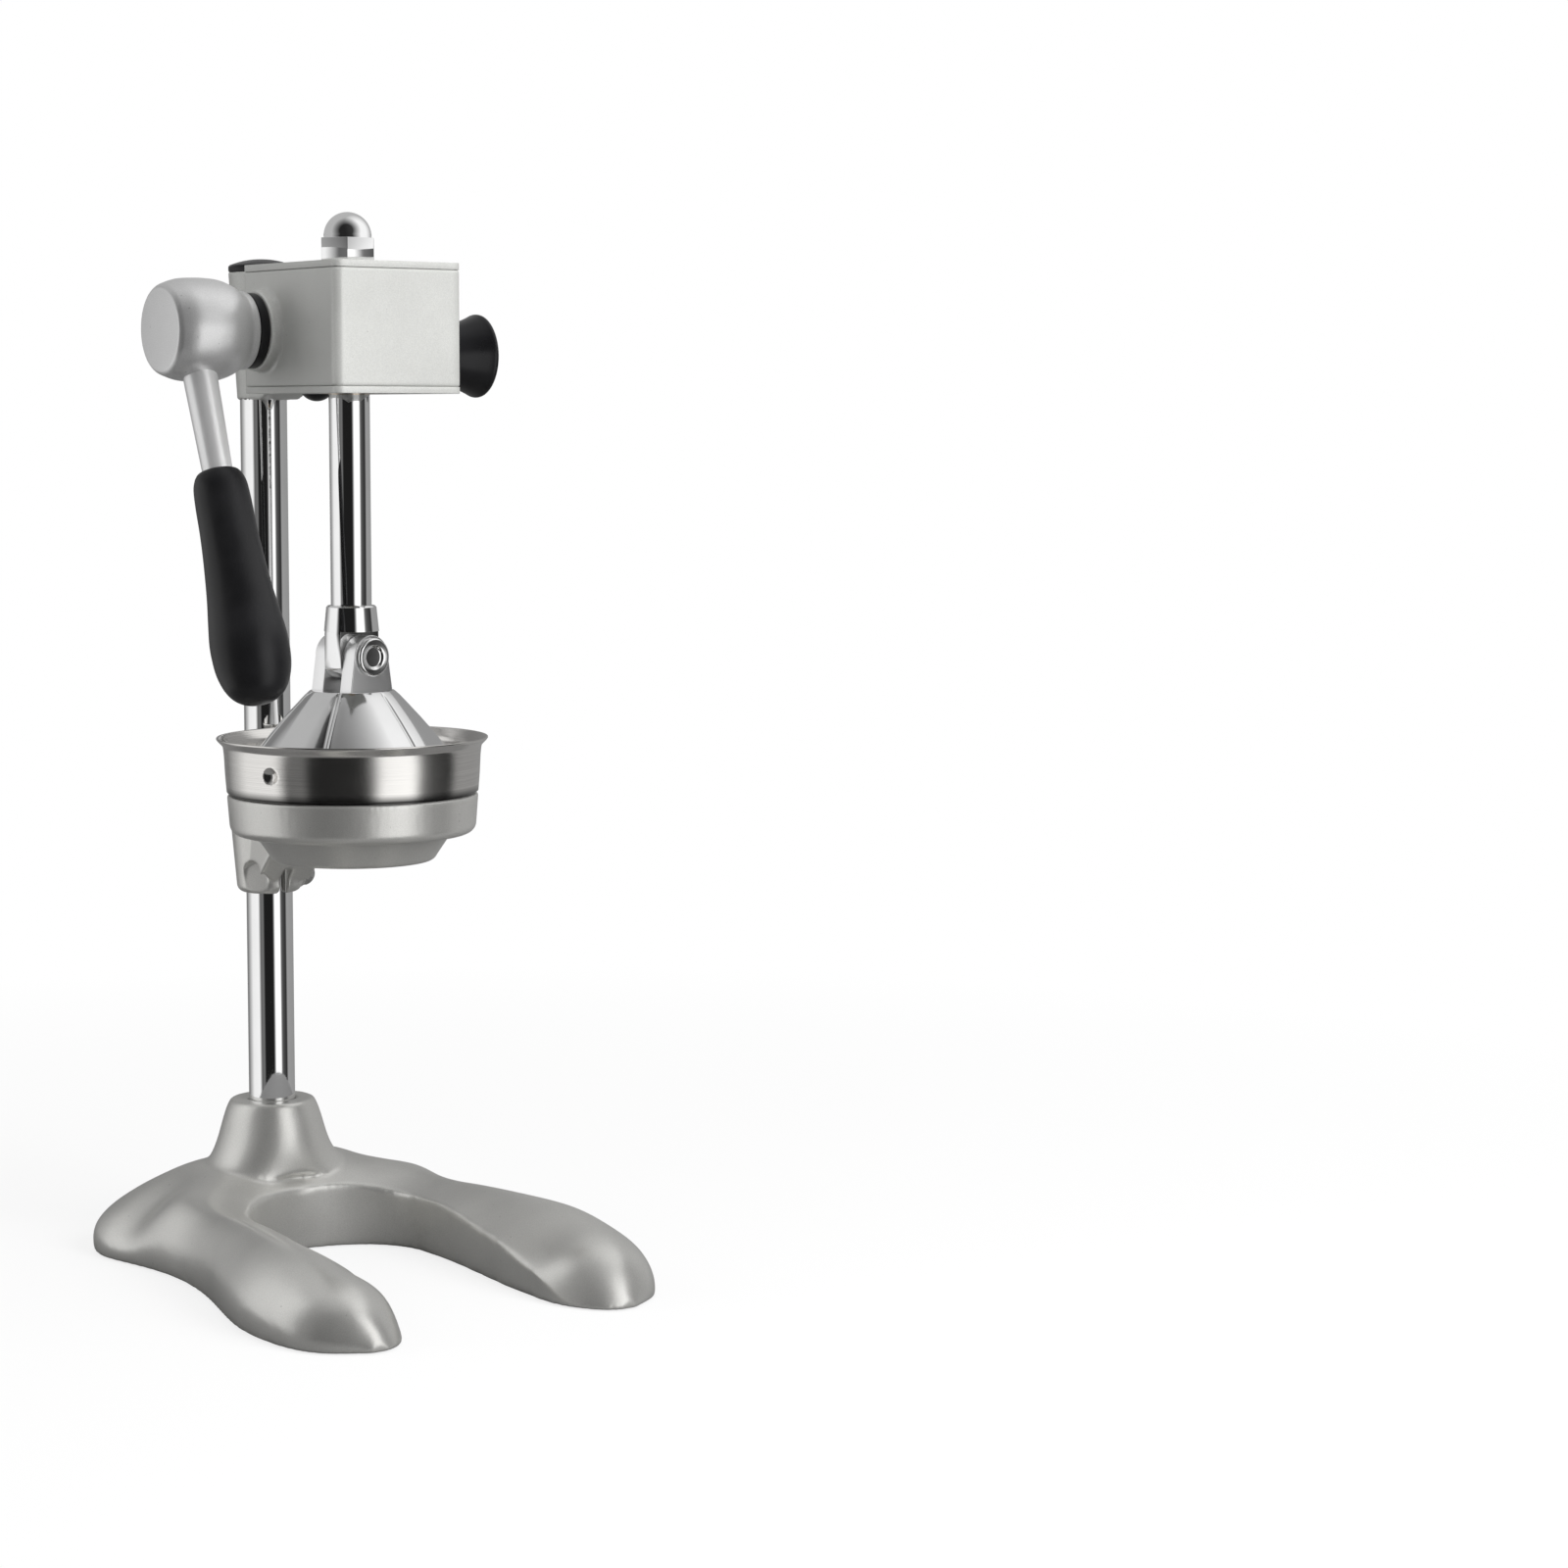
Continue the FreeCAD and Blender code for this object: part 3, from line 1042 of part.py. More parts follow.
os.makedirs("parts", exist_ok=True)
for node in NODES:
    shape = node.Shape
    if shape.isNull() or not shape.isValid():
        raise RuntimeError("bad shape in " + node.Label)
for node in NODES:
    node.Shape.exportStep("parts/%s.step" % node.Label)
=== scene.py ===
import json
import math
import bmesh
import bpy
from mathutils import Matrix, Vector

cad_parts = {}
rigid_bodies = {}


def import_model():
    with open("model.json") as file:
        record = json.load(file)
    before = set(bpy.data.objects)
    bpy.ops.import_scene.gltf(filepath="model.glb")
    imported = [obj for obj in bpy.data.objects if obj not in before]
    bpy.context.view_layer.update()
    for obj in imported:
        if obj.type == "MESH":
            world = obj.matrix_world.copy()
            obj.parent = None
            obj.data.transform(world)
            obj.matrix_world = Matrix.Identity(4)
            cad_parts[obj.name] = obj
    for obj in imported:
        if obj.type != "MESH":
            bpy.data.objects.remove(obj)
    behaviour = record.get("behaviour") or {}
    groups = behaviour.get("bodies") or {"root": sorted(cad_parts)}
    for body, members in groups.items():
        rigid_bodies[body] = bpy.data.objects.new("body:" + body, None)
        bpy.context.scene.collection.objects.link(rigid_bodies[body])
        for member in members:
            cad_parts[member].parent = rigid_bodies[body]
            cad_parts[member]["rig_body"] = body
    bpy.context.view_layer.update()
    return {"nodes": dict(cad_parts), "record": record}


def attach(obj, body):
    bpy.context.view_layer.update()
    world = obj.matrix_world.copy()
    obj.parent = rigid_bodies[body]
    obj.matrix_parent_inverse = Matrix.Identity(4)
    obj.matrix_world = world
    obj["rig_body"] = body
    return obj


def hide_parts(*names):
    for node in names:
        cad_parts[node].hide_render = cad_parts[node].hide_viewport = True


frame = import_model()
NODES = frame["nodes"]
MM = 0.001

# Places shared with the frame, in millimetres.
COLUMN_Y = 84.2
PINION = (20.6, 444.9)
PIVOT_Z = 294.3
PIVOT_YAW = math.radians(11)
LEVER_X = -70.0
LEVER_TILT = math.radians(20.3)

# How often brushed steel's lines change round its axis, in each radian, and up it, in each metre.
STREAKS_ROUND = 0.6
STREAKS_UP = 5200.0
# The height of the joint between bowl and bracket, where the steel's colour carries a dark line of painted
# shade, and how far from it that painted shade fades, in metres.
BOWL_SEAM_SHADE = 0.2307
SEAM_SHADE_EDGE = (0.0008, 0.0012)

# How close two points are merged, in metres: in a turned mesh, and in a copy of a CAD mesh.
SAME_POINT = 1e-7
CAD_POINT = 2e-6


def shader(name, **values):
    material = bpy.data.materials.new(name)
    material.use_nodes = True
    tree = material.node_tree
    bsdf = tree.nodes["Principled BSDF"]
    for socket, value in values.items():
        bsdf.inputs[socket.replace("_", " ")].default_value = value
    return material, tree, bsdf


def add_node(tree, kind, **values):
    node = tree.nodes.new("ShaderNode" + kind)
    for key, value in values.items():
        if hasattr(node, key):
            setattr(node, key, value)
        else:
            node.inputs[key.replace("_", " ")].default_value = value
    return node


def noise(tree, vector, scale, detail=3.0, roughness=0.5):
    node = add_node(tree, "TexNoise", Scale=scale, Detail=detail, Roughness=roughness)
    tree.links.new(vector, node.inputs["Vector"])
    return node.outputs["Fac"]


def ramp(tree, factor, low, high, start=0.35, stop=0.65):
    """A grey value or colour that runs from low to high as the factor goes from start to stop."""
    node = tree.nodes.new("ShaderNodeValToRGB")
    node.color_ramp.elements[0].position = start
    node.color_ramp.elements[1].position = stop
    for element, value in zip(node.color_ramp.elements, (low, high)):
        element.color = (value, value, value, 1) if isinstance(value, (int, float)) else (*value, 1)
    tree.links.new(factor, node.inputs["Fac"])
    return node.outputs["Color"]


def bump(tree, bsdf, height, strength, distance, below=None):
    node = add_node(tree, "Bump", Strength=strength, Distance=distance)
    tree.links.new(height, node.inputs["Height"])
    if below is not None:
        tree.links.new(below, node.inputs["Normal"])
    tree.links.new(node.outputs["Normal"], bsdf.inputs["Normal"])
    return node.outputs["Normal"]


def multiplied(tree, first, second):
    """The product of two colours."""
    node = add_node(tree, "Mix", data_type="RGBA", blend_type="MULTIPLY")
    node.inputs["Factor"].default_value = 1.0
    tree.links.new(first, node.inputs[6])
    tree.links.new(second, node.inputs[7])
    return node.outputs[2]


def arithmetic(tree, operation, *values):
    """The result of a sum on sockets and plain numbers."""
    node = add_node(tree, "Math", operation=operation)
    for socket, value in zip(node.inputs, values):
        if isinstance(value, (int, float)):
            socket.default_value = value
        else:
            tree.links.new(value, socket)
    return node.outputs[0]


def shade(colour, factor):
    return tuple(min(channel * factor, 1) for channel in colour)


def object_vector(tree):
    return add_node(tree, "TexCoord").outputs["Object"]


def cast_enamel(name, colour, metallic=0.55, roughness=0.36, grain=1.0):
    """Silver enamel on a casting: metal flake, a slightly wavy skin and small pits."""
    material, tree, bsdf = shader(name, Metallic=metallic, Roughness=roughness)
    place = object_vector(tree)
    flake = noise(tree, place, 2600, 2)
    cloud = noise(tree, place, 18, 4)
    clouds = ramp(tree, cloud, shade(colour, 0.93), shade(colour, 1.05))
    speck = ramp(tree, flake, 0.90, 1.06, 0.3, 0.7)
    pits = ramp(tree, noise(tree, place, 380, 2), 1.0, 0.7, 0.745, 0.775)
    tree.links.new(multiplied(tree, multiplied(tree, clouds, speck), pits), bsdf.inputs["Base Color"])
    tree.links.new(ramp(tree, cloud, roughness - 0.04, roughness + 0.05), bsdf.inputs["Roughness"])
    waves = bump(tree, bsdf, noise(tree, place, 70, 2), 0.05 * grain, 0.002)
    skin = bump(tree, bsdf, noise(tree, place, 900, 3), 0.10 * grain, 0.0003, waves)
    bump(tree, bsdf, pits, 0.12, 0.0003, skin)
    return material


def polished(name, colour=(0.93, 0.93, 0.93), roughness=0.02, metallic=1.0):
    """Chrome plating with faint handling marks."""
    material, tree, bsdf = shader(name, Metallic=metallic, Roughness=roughness)
    place = object_vector(tree)
    smear = noise(tree, place, 45, 5, 0.6)
    tree.links.new(ramp(tree, smear, shade(colour, 0.965), colour), bsdf.inputs["Base Color"])
    tree.links.new(ramp(tree, smear, roughness, roughness + 0.02, 0.4, 0.8), bsdf.inputs["Roughness"])
    bump(tree, bsdf, noise(tree, place, 120, 2), 0.012, 0.0006)
    return material


def around(tree):
    """The angle round the object's Z axis, and the height along it."""
    split = add_node(tree, "SeparateXYZ")
    tree.links.new(object_vector(tree), split.inputs[0])
    return arithmetic(tree, "ARCTAN2", split.outputs["Y"], split.outputs["X"]), split.outputs["Z"]


def brushed(name, colour=(0.80, 0.785, 0.76), roughness=0.17, seam_shade_at=None):
    """Steel brushed round its axis: fine lines that follow the turning, and a dark line of painted shade at
    a height, standing in for the shadow in a joint.
    """
    material, tree, bsdf = shader(name, Metallic=1.0, Roughness=roughness)
    angle, height = around(tree)
    vector = add_node(tree, "CombineXYZ")
    for socket, value, factor in zip(vector.inputs, (angle, height), (STREAKS_ROUND, STREAKS_UP)):
        tree.links.new(arithmetic(tree, "MULTIPLY", value, factor), socket)
    streak = noise(tree, vector.outputs[0], 1.0, 4, 0.62)
    cloud = noise(tree, object_vector(tree), 22, 3)
    skin = ramp(tree, streak, shade(colour, 0.86), shade(colour, 1.08))
    if seam_shade_at is not None:
        # Painted shade: near the given height the colour drops almost to black, standing in for the shadow
        # in the joint.
        away = arithmetic(tree, "ABSOLUTE", arithmetic(tree, "SUBTRACT", height, seam_shade_at))
        skin = multiplied(tree, skin, ramp(tree, away, 0.02, 1.0, *SEAM_SHADE_EDGE))
    tree.links.new(skin, bsdf.inputs["Base Color"])
    tree.links.new(ramp(tree, cloud, roughness - 0.03, roughness + 0.05), bsdf.inputs["Roughness"])
    bump(tree, bsdf, streak, 0.10, 0.0002)
    return material


def moulded(name, colour=(0.010, 0.010, 0.011), roughness=0.36, grain=1.0):
    """Matte black moulding with a fine skin texture and slight wear."""
    material, tree, bsdf = shader(name, Metallic=0.0, Roughness=roughness)
    bsdf.inputs["Specular IOR Level"].default_value = 0.32
    place = object_vector(tree)
    cloud = noise(tree, place, 40, 4)
    tree.links.new(ramp(tree, cloud, shade(colour, 0.8), shade(colour, 1.25)), bsdf.inputs["Base Color"])
    tree.links.new(ramp(tree, cloud, roughness - 0.04, roughness + 0.06), bsdf.inputs["Roughness"])
    bump(tree, bsdf, noise(tree, place, 1800, 2), 0.08 * grain, 0.0002)
    return material


def turned(name, colour, roughness=0.3):
    """Machined metal with faint tool marks."""
    material, tree, bsdf = shader(name, Metallic=1.0, Roughness=roughness)
    place = object_vector(tree)
    marks = noise(tree, place, 700, 4, 0.6)
    tree.links.new(ramp(tree, marks, shade(colour, 0.88), colour), bsdf.inputs["Base Color"])
    tree.links.new(ramp(tree, marks, roughness - 0.05, roughness + 0.06), bsdf.inputs["Roughness"])
    bump(tree, bsdf, marks, 0.06, 0.0002)
    return material


MATERIALS = {
    "cast_paint": cast_enamel("cast_paint", (0.71, 0.705, 0.68), 0.76, 0.33),
    "housing_paint": cast_enamel("housing_paint", (0.635, 0.64, 0.618), 0.25, 0.42, 0.6),
    "satin_metal": cast_enamel("satin_metal", (0.75, 0.75, 0.75), 0.8, 0.38, 1.3),
    "column_chrome": polished("column_chrome"),
    "plunger_chrome": polished("plunger_chrome"),
    "cone_chrome": polished("cone_chrome", (0.90, 0.90, 0.90), 0.09),
    "lever_chrome": polished("lever_chrome", (0.86, 0.86, 0.86), 0.30, 0.65),
    "bowl_steel": brushed("bowl_steel"),
    "grip_black": moulded("grip_black"),
    "black_plastic": moulded("black_plastic", (0.008, 0.008, 0.009), 0.30, 0.7),
    "foot_rubber": moulded("foot_rubber", (0.02, 0.02, 0.02), 0.7, 1.5),
    "bronze": turned("bronze", (0.62, 0.44, 0.22)),
    "gear_steel": turned("gear_steel", (0.42, 0.42, 0.42), 0.35),
    "steel": turned("steel", (0.58, 0.58, 0.57), 0.25),
}
SLOT_OF = {entry["node"]: entry["material_slot"] for entry in frame["record"]["subparts"]}

for node_name, node_object in NODES.items():
    node_object.data.materials.clear()
    node_object.data.materials.append(MATERIALS[SLOT_OF[node_name]])


def link(name, data):
    piece = bpy.data.objects.new(name, data)
    bpy.context.scene.collection.objects.link(piece)
    return piece


def dress(piece, node, material=None):
    """Makes a piece stand for a CAD node, with its finish and its body."""
    piece.data.materials.clear()
    piece.data.materials.append(material or MATERIALS[SLOT_OF[node]])
    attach(piece, NODES[node]["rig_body"])
    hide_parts(node)


def smooth_by_angle(mesh, degrees=32):
    mesh.shade_smooth()
    mesh.set_sharp_from_angle(angle=math.radians(degrees))


def soften(outline, steps=5):
    """Rounds the corners of an open outline of (radius, height, fillet) points."""
    points = [Vector((item[0], item[1])) for item in outline]
    fillets = [item[2] if len(item) > 2 else 0 for item in outline]
    result = []
    for index, (point, fillet) in enumerate(zip(points, fillets)):
        if not fillet or index in (0, len(points) - 1):
            result.append(point)
            continue
        before, after = points[index - 1] - point, points[index + 1] - point
        cut = min(fillet, before.length * 0.49, after.length * 0.49)
        first, last = point + before.normalized() * cut, point + after.normalized() * cut
        for step in range(steps + 1):
            t = step / steps
            result.append(first * (1 - t) ** 2 + point * 2 * t * (1 - t) + last * t ** 2)
    return result


def spline(points, steps=6):
    """A smooth line through points, without its last one."""
    points = [Vector(p[:2]) for p in points]
    result = []
    for index in range(len(points) - 1):
        p0 = points[max(index - 1, 0)]
        p1, p2 = points[index], points[index + 1]
        p3 = points[min(index + 2, len(points) - 1)]
        for step in range(steps):
            t = step / steps
            result.append(0.5 * ((2 * p1) + (p2 - p0) * t + (2 * p0 - 5 * p1 + 4 * p2 - p3) * t * t
                                 + (3 * p1 - p0 - 3 * p2 + p3) * t ** 3))
    return [(p.x, p.y) for p in result]


def lathe_mesh(name, outline, segments=96, wave=None):
    """Turns an outline of (radius, height) in millimetres round Z; wave(angle, radius, height) moves it."""
    rows = soften(outline)
    mesh = bpy.data.meshes.new(name)
    work = bmesh.new()
    rings = []
    for row in rows:
        if abs(row.x) < 1e-6:
            rings.append([work.verts.new((0, 0, row.y * MM))])
            continue
        ring = []
        for index in range(segments):
            angle = 2 * math.pi * index / segments
            radius = row.x + (wave(angle, row.x, row.y) if wave else 0)
            place = (radius * MM * math.cos(angle), radius * MM * math.sin(angle), row.y * MM)
            ring.append(work.verts.new(place))
        rings.append(ring)
    for low, high in zip(rings, rings[1:]):
        for index in range(segments):
            after = (index + 1) % segments
            if len(low) == 1 and len(high) == 1:
                break
            if len(low) == 1:
                work.faces.new((low[0], high[after], high[index]))
            elif len(high) == 1:
                work.faces.new((low[index], low[after], high[0]))
            else:
                work.faces.new((low[index], low[after], high[after], high[index]))
    bmesh.ops.remove_doubles(work, verts=work.verts, dist=SAME_POINT)
    bmesh.ops.recalc_face_normals(work, faces=work.faces)
    work.to_mesh(mesh)
    work.free()
    return mesh


def turn_to(direction):
    """The rotation that takes +Z to a direction."""
    return Vector((0, 0, 1)).rotation_difference(Vector(direction)).to_matrix().to_4x4()


def lathe(name, node, outline, at=(0, 0, 0), along=(0, 0, 1), segments=96, wave=None, closed=False,
          material=None):
    """A turned piece. A closed outline comes back to its first point and leaves a bore."""
    if closed:
        outline = list(outline) + [outline[0]]
    mesh = lathe_mesh(name, outline, segments, wave)
    smooth_by_angle(mesh)
    piece = link(name, mesh)
    piece.matrix_world = Matrix.Translation(Vector(at) * MM) @ turn_to(along)
    dress(piece, node, material)


def copied(name, node):
    """A copy of a CAD node's mesh, to be softened."""
    mesh = NODES[node].data.copy()
    mesh.name = name
    work = bmesh.new()
    work.from_mesh(mesh)
    bmesh.ops.remove_doubles(work, verts=work.verts, dist=CAD_POINT)
    bmesh.ops.dissolve_limit(work, angle_limit=math.radians(1.0), verts=work.verts, edges=work.edges)
    work.to_mesh(mesh)
    work.free()
    return link(name, mesh)


def apply_all(piece):
    """Turns a piece's modifiers into plain mesh."""
    depsgraph = bpy.context.evaluated_depsgraph_get()
    mesh = bpy.data.meshes.new_from_object(piece.evaluated_get(depsgraph))
    piece.modifiers.clear()
    piece.data = mesh


def break_edges(piece, width, segments, angle):
    """Rounds the edges of a piece that are sharper than an angle in degrees."""
    edge = piece.modifiers.new("edges", "BEVEL")
    edge.width = width * MM
    edge.segments = segments
    edge.limit_method = "ANGLE"
    edge.angle_limit = math.radians(angle)
    apply_all(piece)


def bevelled(name, node, width, segments=3, angle=30):
    """A prismatic CAD node with its edges broken."""
    piece = copied(name, node)
    break_edges(piece, width, segments, angle)
    smooth_by_angle(piece.data, 35)
    dress(piece, node)


def cast_skin(name, node, voxel, rounds, keep_below=None):
    """A casting's skin: the CAD node remeshed finely and relaxed, so that edges and joints run soft.

    keep_below gives the heights in millimetres up to which nothing moves, and from which all moves.
    """
    piece = copied(name, node)
    remesh = piece.modifiers.new("skin", "REMESH")
    remesh.mode = "VOXEL"
    remesh.voxel_size = voxel * MM
    remesh.use_smooth_shade = True
    apply_all(piece)
    group = piece.vertex_groups.new(name="free")
    for vertex in piece.data.vertices:
        weight = 1.0
        if keep_below is not None:
            share = (vertex.co.z / MM - keep_below[0]) / (keep_below[1] - keep_below[0])
            weight = min(max(share, 0.0), 1.0)
        group.add([vertex.index], weight, "REPLACE")
    relax = piece.modifiers.new("relax", "SMOOTH")
    relax.factor = 0.5
    relax.iterations = rounds
    relax.vertex_group = "free"
    apply_all(piece)
    piece.vertex_groups.clear()
    piece.data.shade_smooth()
    dress(piece, node)


cast_skin("base_casting", "base", 1.3, 8, (0.5, 3.0))
cast_skin("bracket_casting", "bowl_bracket", 0.8, 3)
cast_skin("housing_casting", "gear_housing", 0.8, 2)

lathe("column_tube", "column",
      [(11.25, 12, 0), (11.25, 474.2, 0.4), (10.9, 474.6, 0.3), (9.25, 474.6), (9.25, 12)],
      (0, COLUMN_Y, 0), closed=True)
lathe("column_end_cap", "column_cap",
      [(0, -10), (9.2, -10, 0.3), (9.2, 0), (15.5, 0, 0.4), (16, 0.6, 0.4), (16, 2.7, 0.8)]
      + spline([(15.3, 3.4), (12, 4.6), (8, 5.6), (4, 6.2), (0, 6.4)]) + [(0, 6.4)],
      (0, COLUMN_Y, 474.6))

bevelled("top_plate", "housing_top_cover", 0.5)
bevelled("bottom_plate", "housing_bottom_cover", 0.5)
lathe("thrust_washer", "hub_washer",
      [(8.3, 38.6), (17, 38.6, 0.4), (17.4, 39.2, 0.4), (17.4, 43.0, 0.4), (16.9, 43.6, 0.3), (8.3, 43.6)],
      (0, *PINION), (-1, 0, 0), closed=True)
lathe("lock_handwheel", "lock_knob",
      [(4.05, 35.6), (9.0, 35.6, 0.4), (9.5, 36.2, 0.3), (10.0, 40.5)]
      + spline([(10.1, 41), (11.3, 46), (13.4, 52), (16.2, 60), (18.6, 66)])
      + [(18.9, 66.6, 0.6), (19.7, 68.2, 0.6), (19.5, 69.6, 0.6), (18.4, 70, 0.6), (15, 69.8, 0.8), (0, 68),
         (0, 62.2), (4.05, 62.2)],
      (0, 0, 434.4), (1, 0, 0))

lathe("lever_hub", "hub",
      [(0, 43.6), (17.4, 43.6, 0.4), (18.0, 44.2, 0.4), (18.2, 47.4, 1.5)]
      + spline([(18.6, 48.4), (21.0, 52.5), (22.9, 58), (23.55, 64), (23.6, 70), (23.2, 76.5),
                (22.0, 81.2)])
      + [(20.7, 84.6, 1.2), (19.2, 86.1, 0.8), (0, 86.1)],
      (0, *PINION), (-1, 0, 0), segments=128)
DOWN = (0, -math.sin(LEVER_TILT), -math.cos(LEVER_TILT))
LEVER_AT = (LEVER_X, PINION[0], PINION[1])
lathe("lever_shank", "lever_rod",
      [(0, 8.4), (7.8, 8.4), (7.8, 24.6), (6.85, 71.4), (5, 71.5), (5, 164.5), (0, 164.5)],
      LEVER_AT, DOWN)
GRIP = [(6.95, 71.4), (6.95, 69.2, 0.4), (7.6, 68.5, 0.5), (9.6, 69.3, 0.8)]
GRIP += spline([(10.9, 71.2), (12.2, 75.5), (12.75, 84), (12.95, 96), (13.6, 109), (15.0, 126), (16.6, 139),
                (17.6, 148), (17.65, 155), (16.9, 162.5), (14.7, 169.5), (11.2, 174.6), (6.2, 177.6),
                (0, 178.5)])
lathe("hand_grip", "grip", GRIP + [(0, 178.5), (0, 164.6), (5.05, 164.6), (5.05, 71.4)], LEVER_AT, DOWN)

bevelled("plunger_rod", "plunger", 0.15, 2, 40)
bevelled("head_nut", "dome_nut", 0.4, 3, 25)
bevelled("rod_socket", "plunger_socket", 0.6, 4, 35)

CONE_TOP = 278.3
CONE_TOP_RADIUS = 20
CONE_FOOT = 244.6
CONE_FOOT_RADIUS = 49
CONE_BULGE = 0.9
GROOVES_AT = math.radians(43.6)
GROOVE_COUNT = 6
GROOVE_HALF = 1.35
GROOVE_DEPTH = 0.75
GROOVE_TOP = 276.5
GROOVED_SKIN = 1.6


def groove(angle, radius, height):
    """The narrow grooves down the press cone's outside, as a change of radius."""
    spread = (CONE_FOOT_RADIUS - CONE_TOP_RADIUS) / (CONE_TOP - CONE_FOOT)
    outside = CONE_TOP_RADIUS + (CONE_TOP - height) * spread
    if radius < outside - GROOVED_SKIN or height > GROOVE_TOP:
        return 0
    step = 2 * math.pi / GROOVE_COUNT
    across = math.remainder(angle - GROOVES_AT, step) * radius / GROOVE_HALF
    return -GROOVE_DEPTH * (1 - across * across) ** 2 if abs(across) < 1 else 0


def flank(share):
    """A point of the press cone's slightly bulged flank, at a share of the way up."""
    radius = CONE_FOOT_RADIUS + (CONE_TOP_RADIUS - CONE_FOOT_RADIUS) * share
    return radius + CONE_BULGE * math.sin(math.pi * share), CONE_FOOT + (CONE_TOP - CONE_FOOT) * share


lathe("cone_shell", "press_cone",
      [(0, 274.3), (14.8, 274.3), (44.8, CONE_FOOT), (44.8, 241.2), (48.6, 241.2),
       (CONE_FOOT_RADIUS, 241.6), (CONE_FOOT_RADIUS, 244.4, 0.8)]
      + [flank(share) for share in (0.04, 0.2, 0.4, 0.6, 0.8, 0.93)]
      + [(19.6, CONE_TOP, 0.6), (0, CONE_TOP)],
      segments=960, wave=groove)


def ears(name, node, foot, width):
    """The two ears above the press cone, with their edges rounded."""
    piece = copied(name, node)
    work = bmesh.new()
    work.from_mesh(piece.data)
    bmesh.ops.bisect_plane(work, geom=work.verts[:] + work.edges[:] + work.faces[:],
                           plane_co=(0, 0, foot * MM), plane_no=(0, 0, 1), clear_inner=True)
    work.to_mesh(piece.data)
    work.free()
    break_edges(piece, width, 5, 40)
    smooth_by_angle(piece.data, 40)
    dress(piece, node, polished("ear_chrome", (0.95, 0.95, 0.95), 0.36))


ears("cone_ears", "press_cone", 278.32, 1.1)
lathe("pin_head", "pivot_pin",
      [(0, -16.9), (3.6, -16.9, 0.4), (4, -16.2), (4, 14.4), (8.2, 14.4, 0.3), (9, 15.0, 0.4),
       (9, 16.2, 0.7), (8.0, 16.8, 0.5), (5.6, 16.3, 0.6), (4.6, 15.2, 0.6), (0, 14.9)],
      (0, 0, PIVOT_Z), (math.sin(PIVOT_YAW), -math.cos(PIVOT_YAW), 0),
      material=polished("pin_chrome", (0.92, 0.92, 0.92), 0.12))

DIMPLE_AT = math.radians(-158.3)
DIMPLE_HEIGHT = 242.3
DIMPLE_RADIUS = 4.2
DIMPLE_DEPTH = 2.4
OUTER_WALL = 56


def dimple(angle, radius, height):
    """The round pressed dimple in the bowl's wall, as a change of radius."""
    if radius < OUTER_WALL:
        return 0
    across = math.remainder(angle - DIMPLE_AT, 2 * math.pi) * radius
    reach = math.hypot(across, height - DIMPLE_HEIGHT) / DIMPLE_RADIUS
    return -DIMPLE_DEPTH * (1 - reach * reach) ** 1.2 if reach < 1 else 0


# The bowl's steel carries a thin band of painted shade at its joint with the bracket.
lathe("bowl_shell", "juice_bowl",
      [(12, 195.6), (13.2, 195.6), (13.2, 202.0, 0.6), (34.6, 203.0, 1.0), (41.6, 214.8, 0.8),
       (54.6, 214.8, 2.0), (54.6, 230, 0.5), (57.5, 230, 0.3), (57.5, 231.0, 0.2), (58.7, 231.0, 0.3)]
      + spline([(58.9, 233.4), (59.2, 237), (59.4, 240), (59.5, 242), (59.6, 244), (59.75, 247),
                (59.9, 249), (60.2, 251.6)])
      + [(60.4, 252.6, 1.2), (62.9, 255.2, 0.9), (63.4, 256.0, 0.3), (63.1, 256.6, 0.3), (62.2, 256.3, 0.5),
         (59.2, 251.6, 1.5), (58.5, 241), (57.5, 231.2, 0.6), (53.4, 231.2, 0.5), (53.4, 216.0, 2.0),
         (41.0, 216.0, 0.8), (34.0, 204.2, 1.0), (13.2, 203.2, 0.5), (12, 203.0)],
      closed=True, segments=480, wave=dimple, material=brushed("bowl_steel_seam_shade", seam_shade_at=BOWL_SEAM_SHADE))

# The photograph's camera, fitted to the press: its place in metres, its directions and its focal length.
CAMERA_AT = Vector((-0.81194, -1.44790, 0.40467))
CAMERA_FORWARD = Vector((0.58870533, 0.80179261, -0.10273579))
CAMERA_RIGHT = Vector((0.80621114, -0.59162242, 0.00255324))
CAMERA_UP = Vector((0.05873363, 0.08432984, 0.9947054))
FOCAL_PIXELS = 3597.65
FRAME_PIXELS = 1600
SENSOR = 36
TO_CAMERA = math.radians(-126.3)

# The world: its light on dull surfaces, and the sky that the metal mirrors. Directions are the azimuth from
# the camera's side and the rise, in degrees; a fade runs over the cosine of the angle from its direction.
AMBIENT = 0.40
OVERHEAD = 0.48
BRIGHT_SIDE = (75, 25)
BRIGHT_FADE = (0.3, 0.8)
DARK_SIDE = (0, 24)
DARK_SKY = 0.04
DARK_FADE = (0.30, 0.86)

# The floor, in metres and shares of white: how it shows near the press, what lights the press from it, and
# over which distances it fades to plain white for the camera and in the metal.
FLOOR_RADIUS = 9
FLOOR_GLOW = 0.80
FLOOR_SEEN = 0.9
FLOOR_BOUNCE = 0.22
FLOOR_FADE = (0.30, 0.95)
MIRRORED_FADE = (0.40, 0.95)

# The ring of boards that the chrome mirrors.
SURROUND_RADIUS = 0.42
SURROUND_FOOT = -0.01
SURROUND_HEIGHT = 0.52
SURROUND_SIDES = 180
BOARD_LIGHT = 1.3
# Azimuth from the camera's side, positive to the picture's right, and the grey that the chrome sees there.
BOARDS = [(-180, 0.20), (-134, 0.16), (-114, 0.42), (-98, 0.70), (-62, 0.74), (-51, 0.10), (-36, 0.13),
          (-29, 0.01), (19, 0.01), (24, 0.18), (32, 0.90), (60, 1.0), (68, 0.14), (77, 0.06), (100, 0.02),
          (108, 0.26), (180, 0.23)]
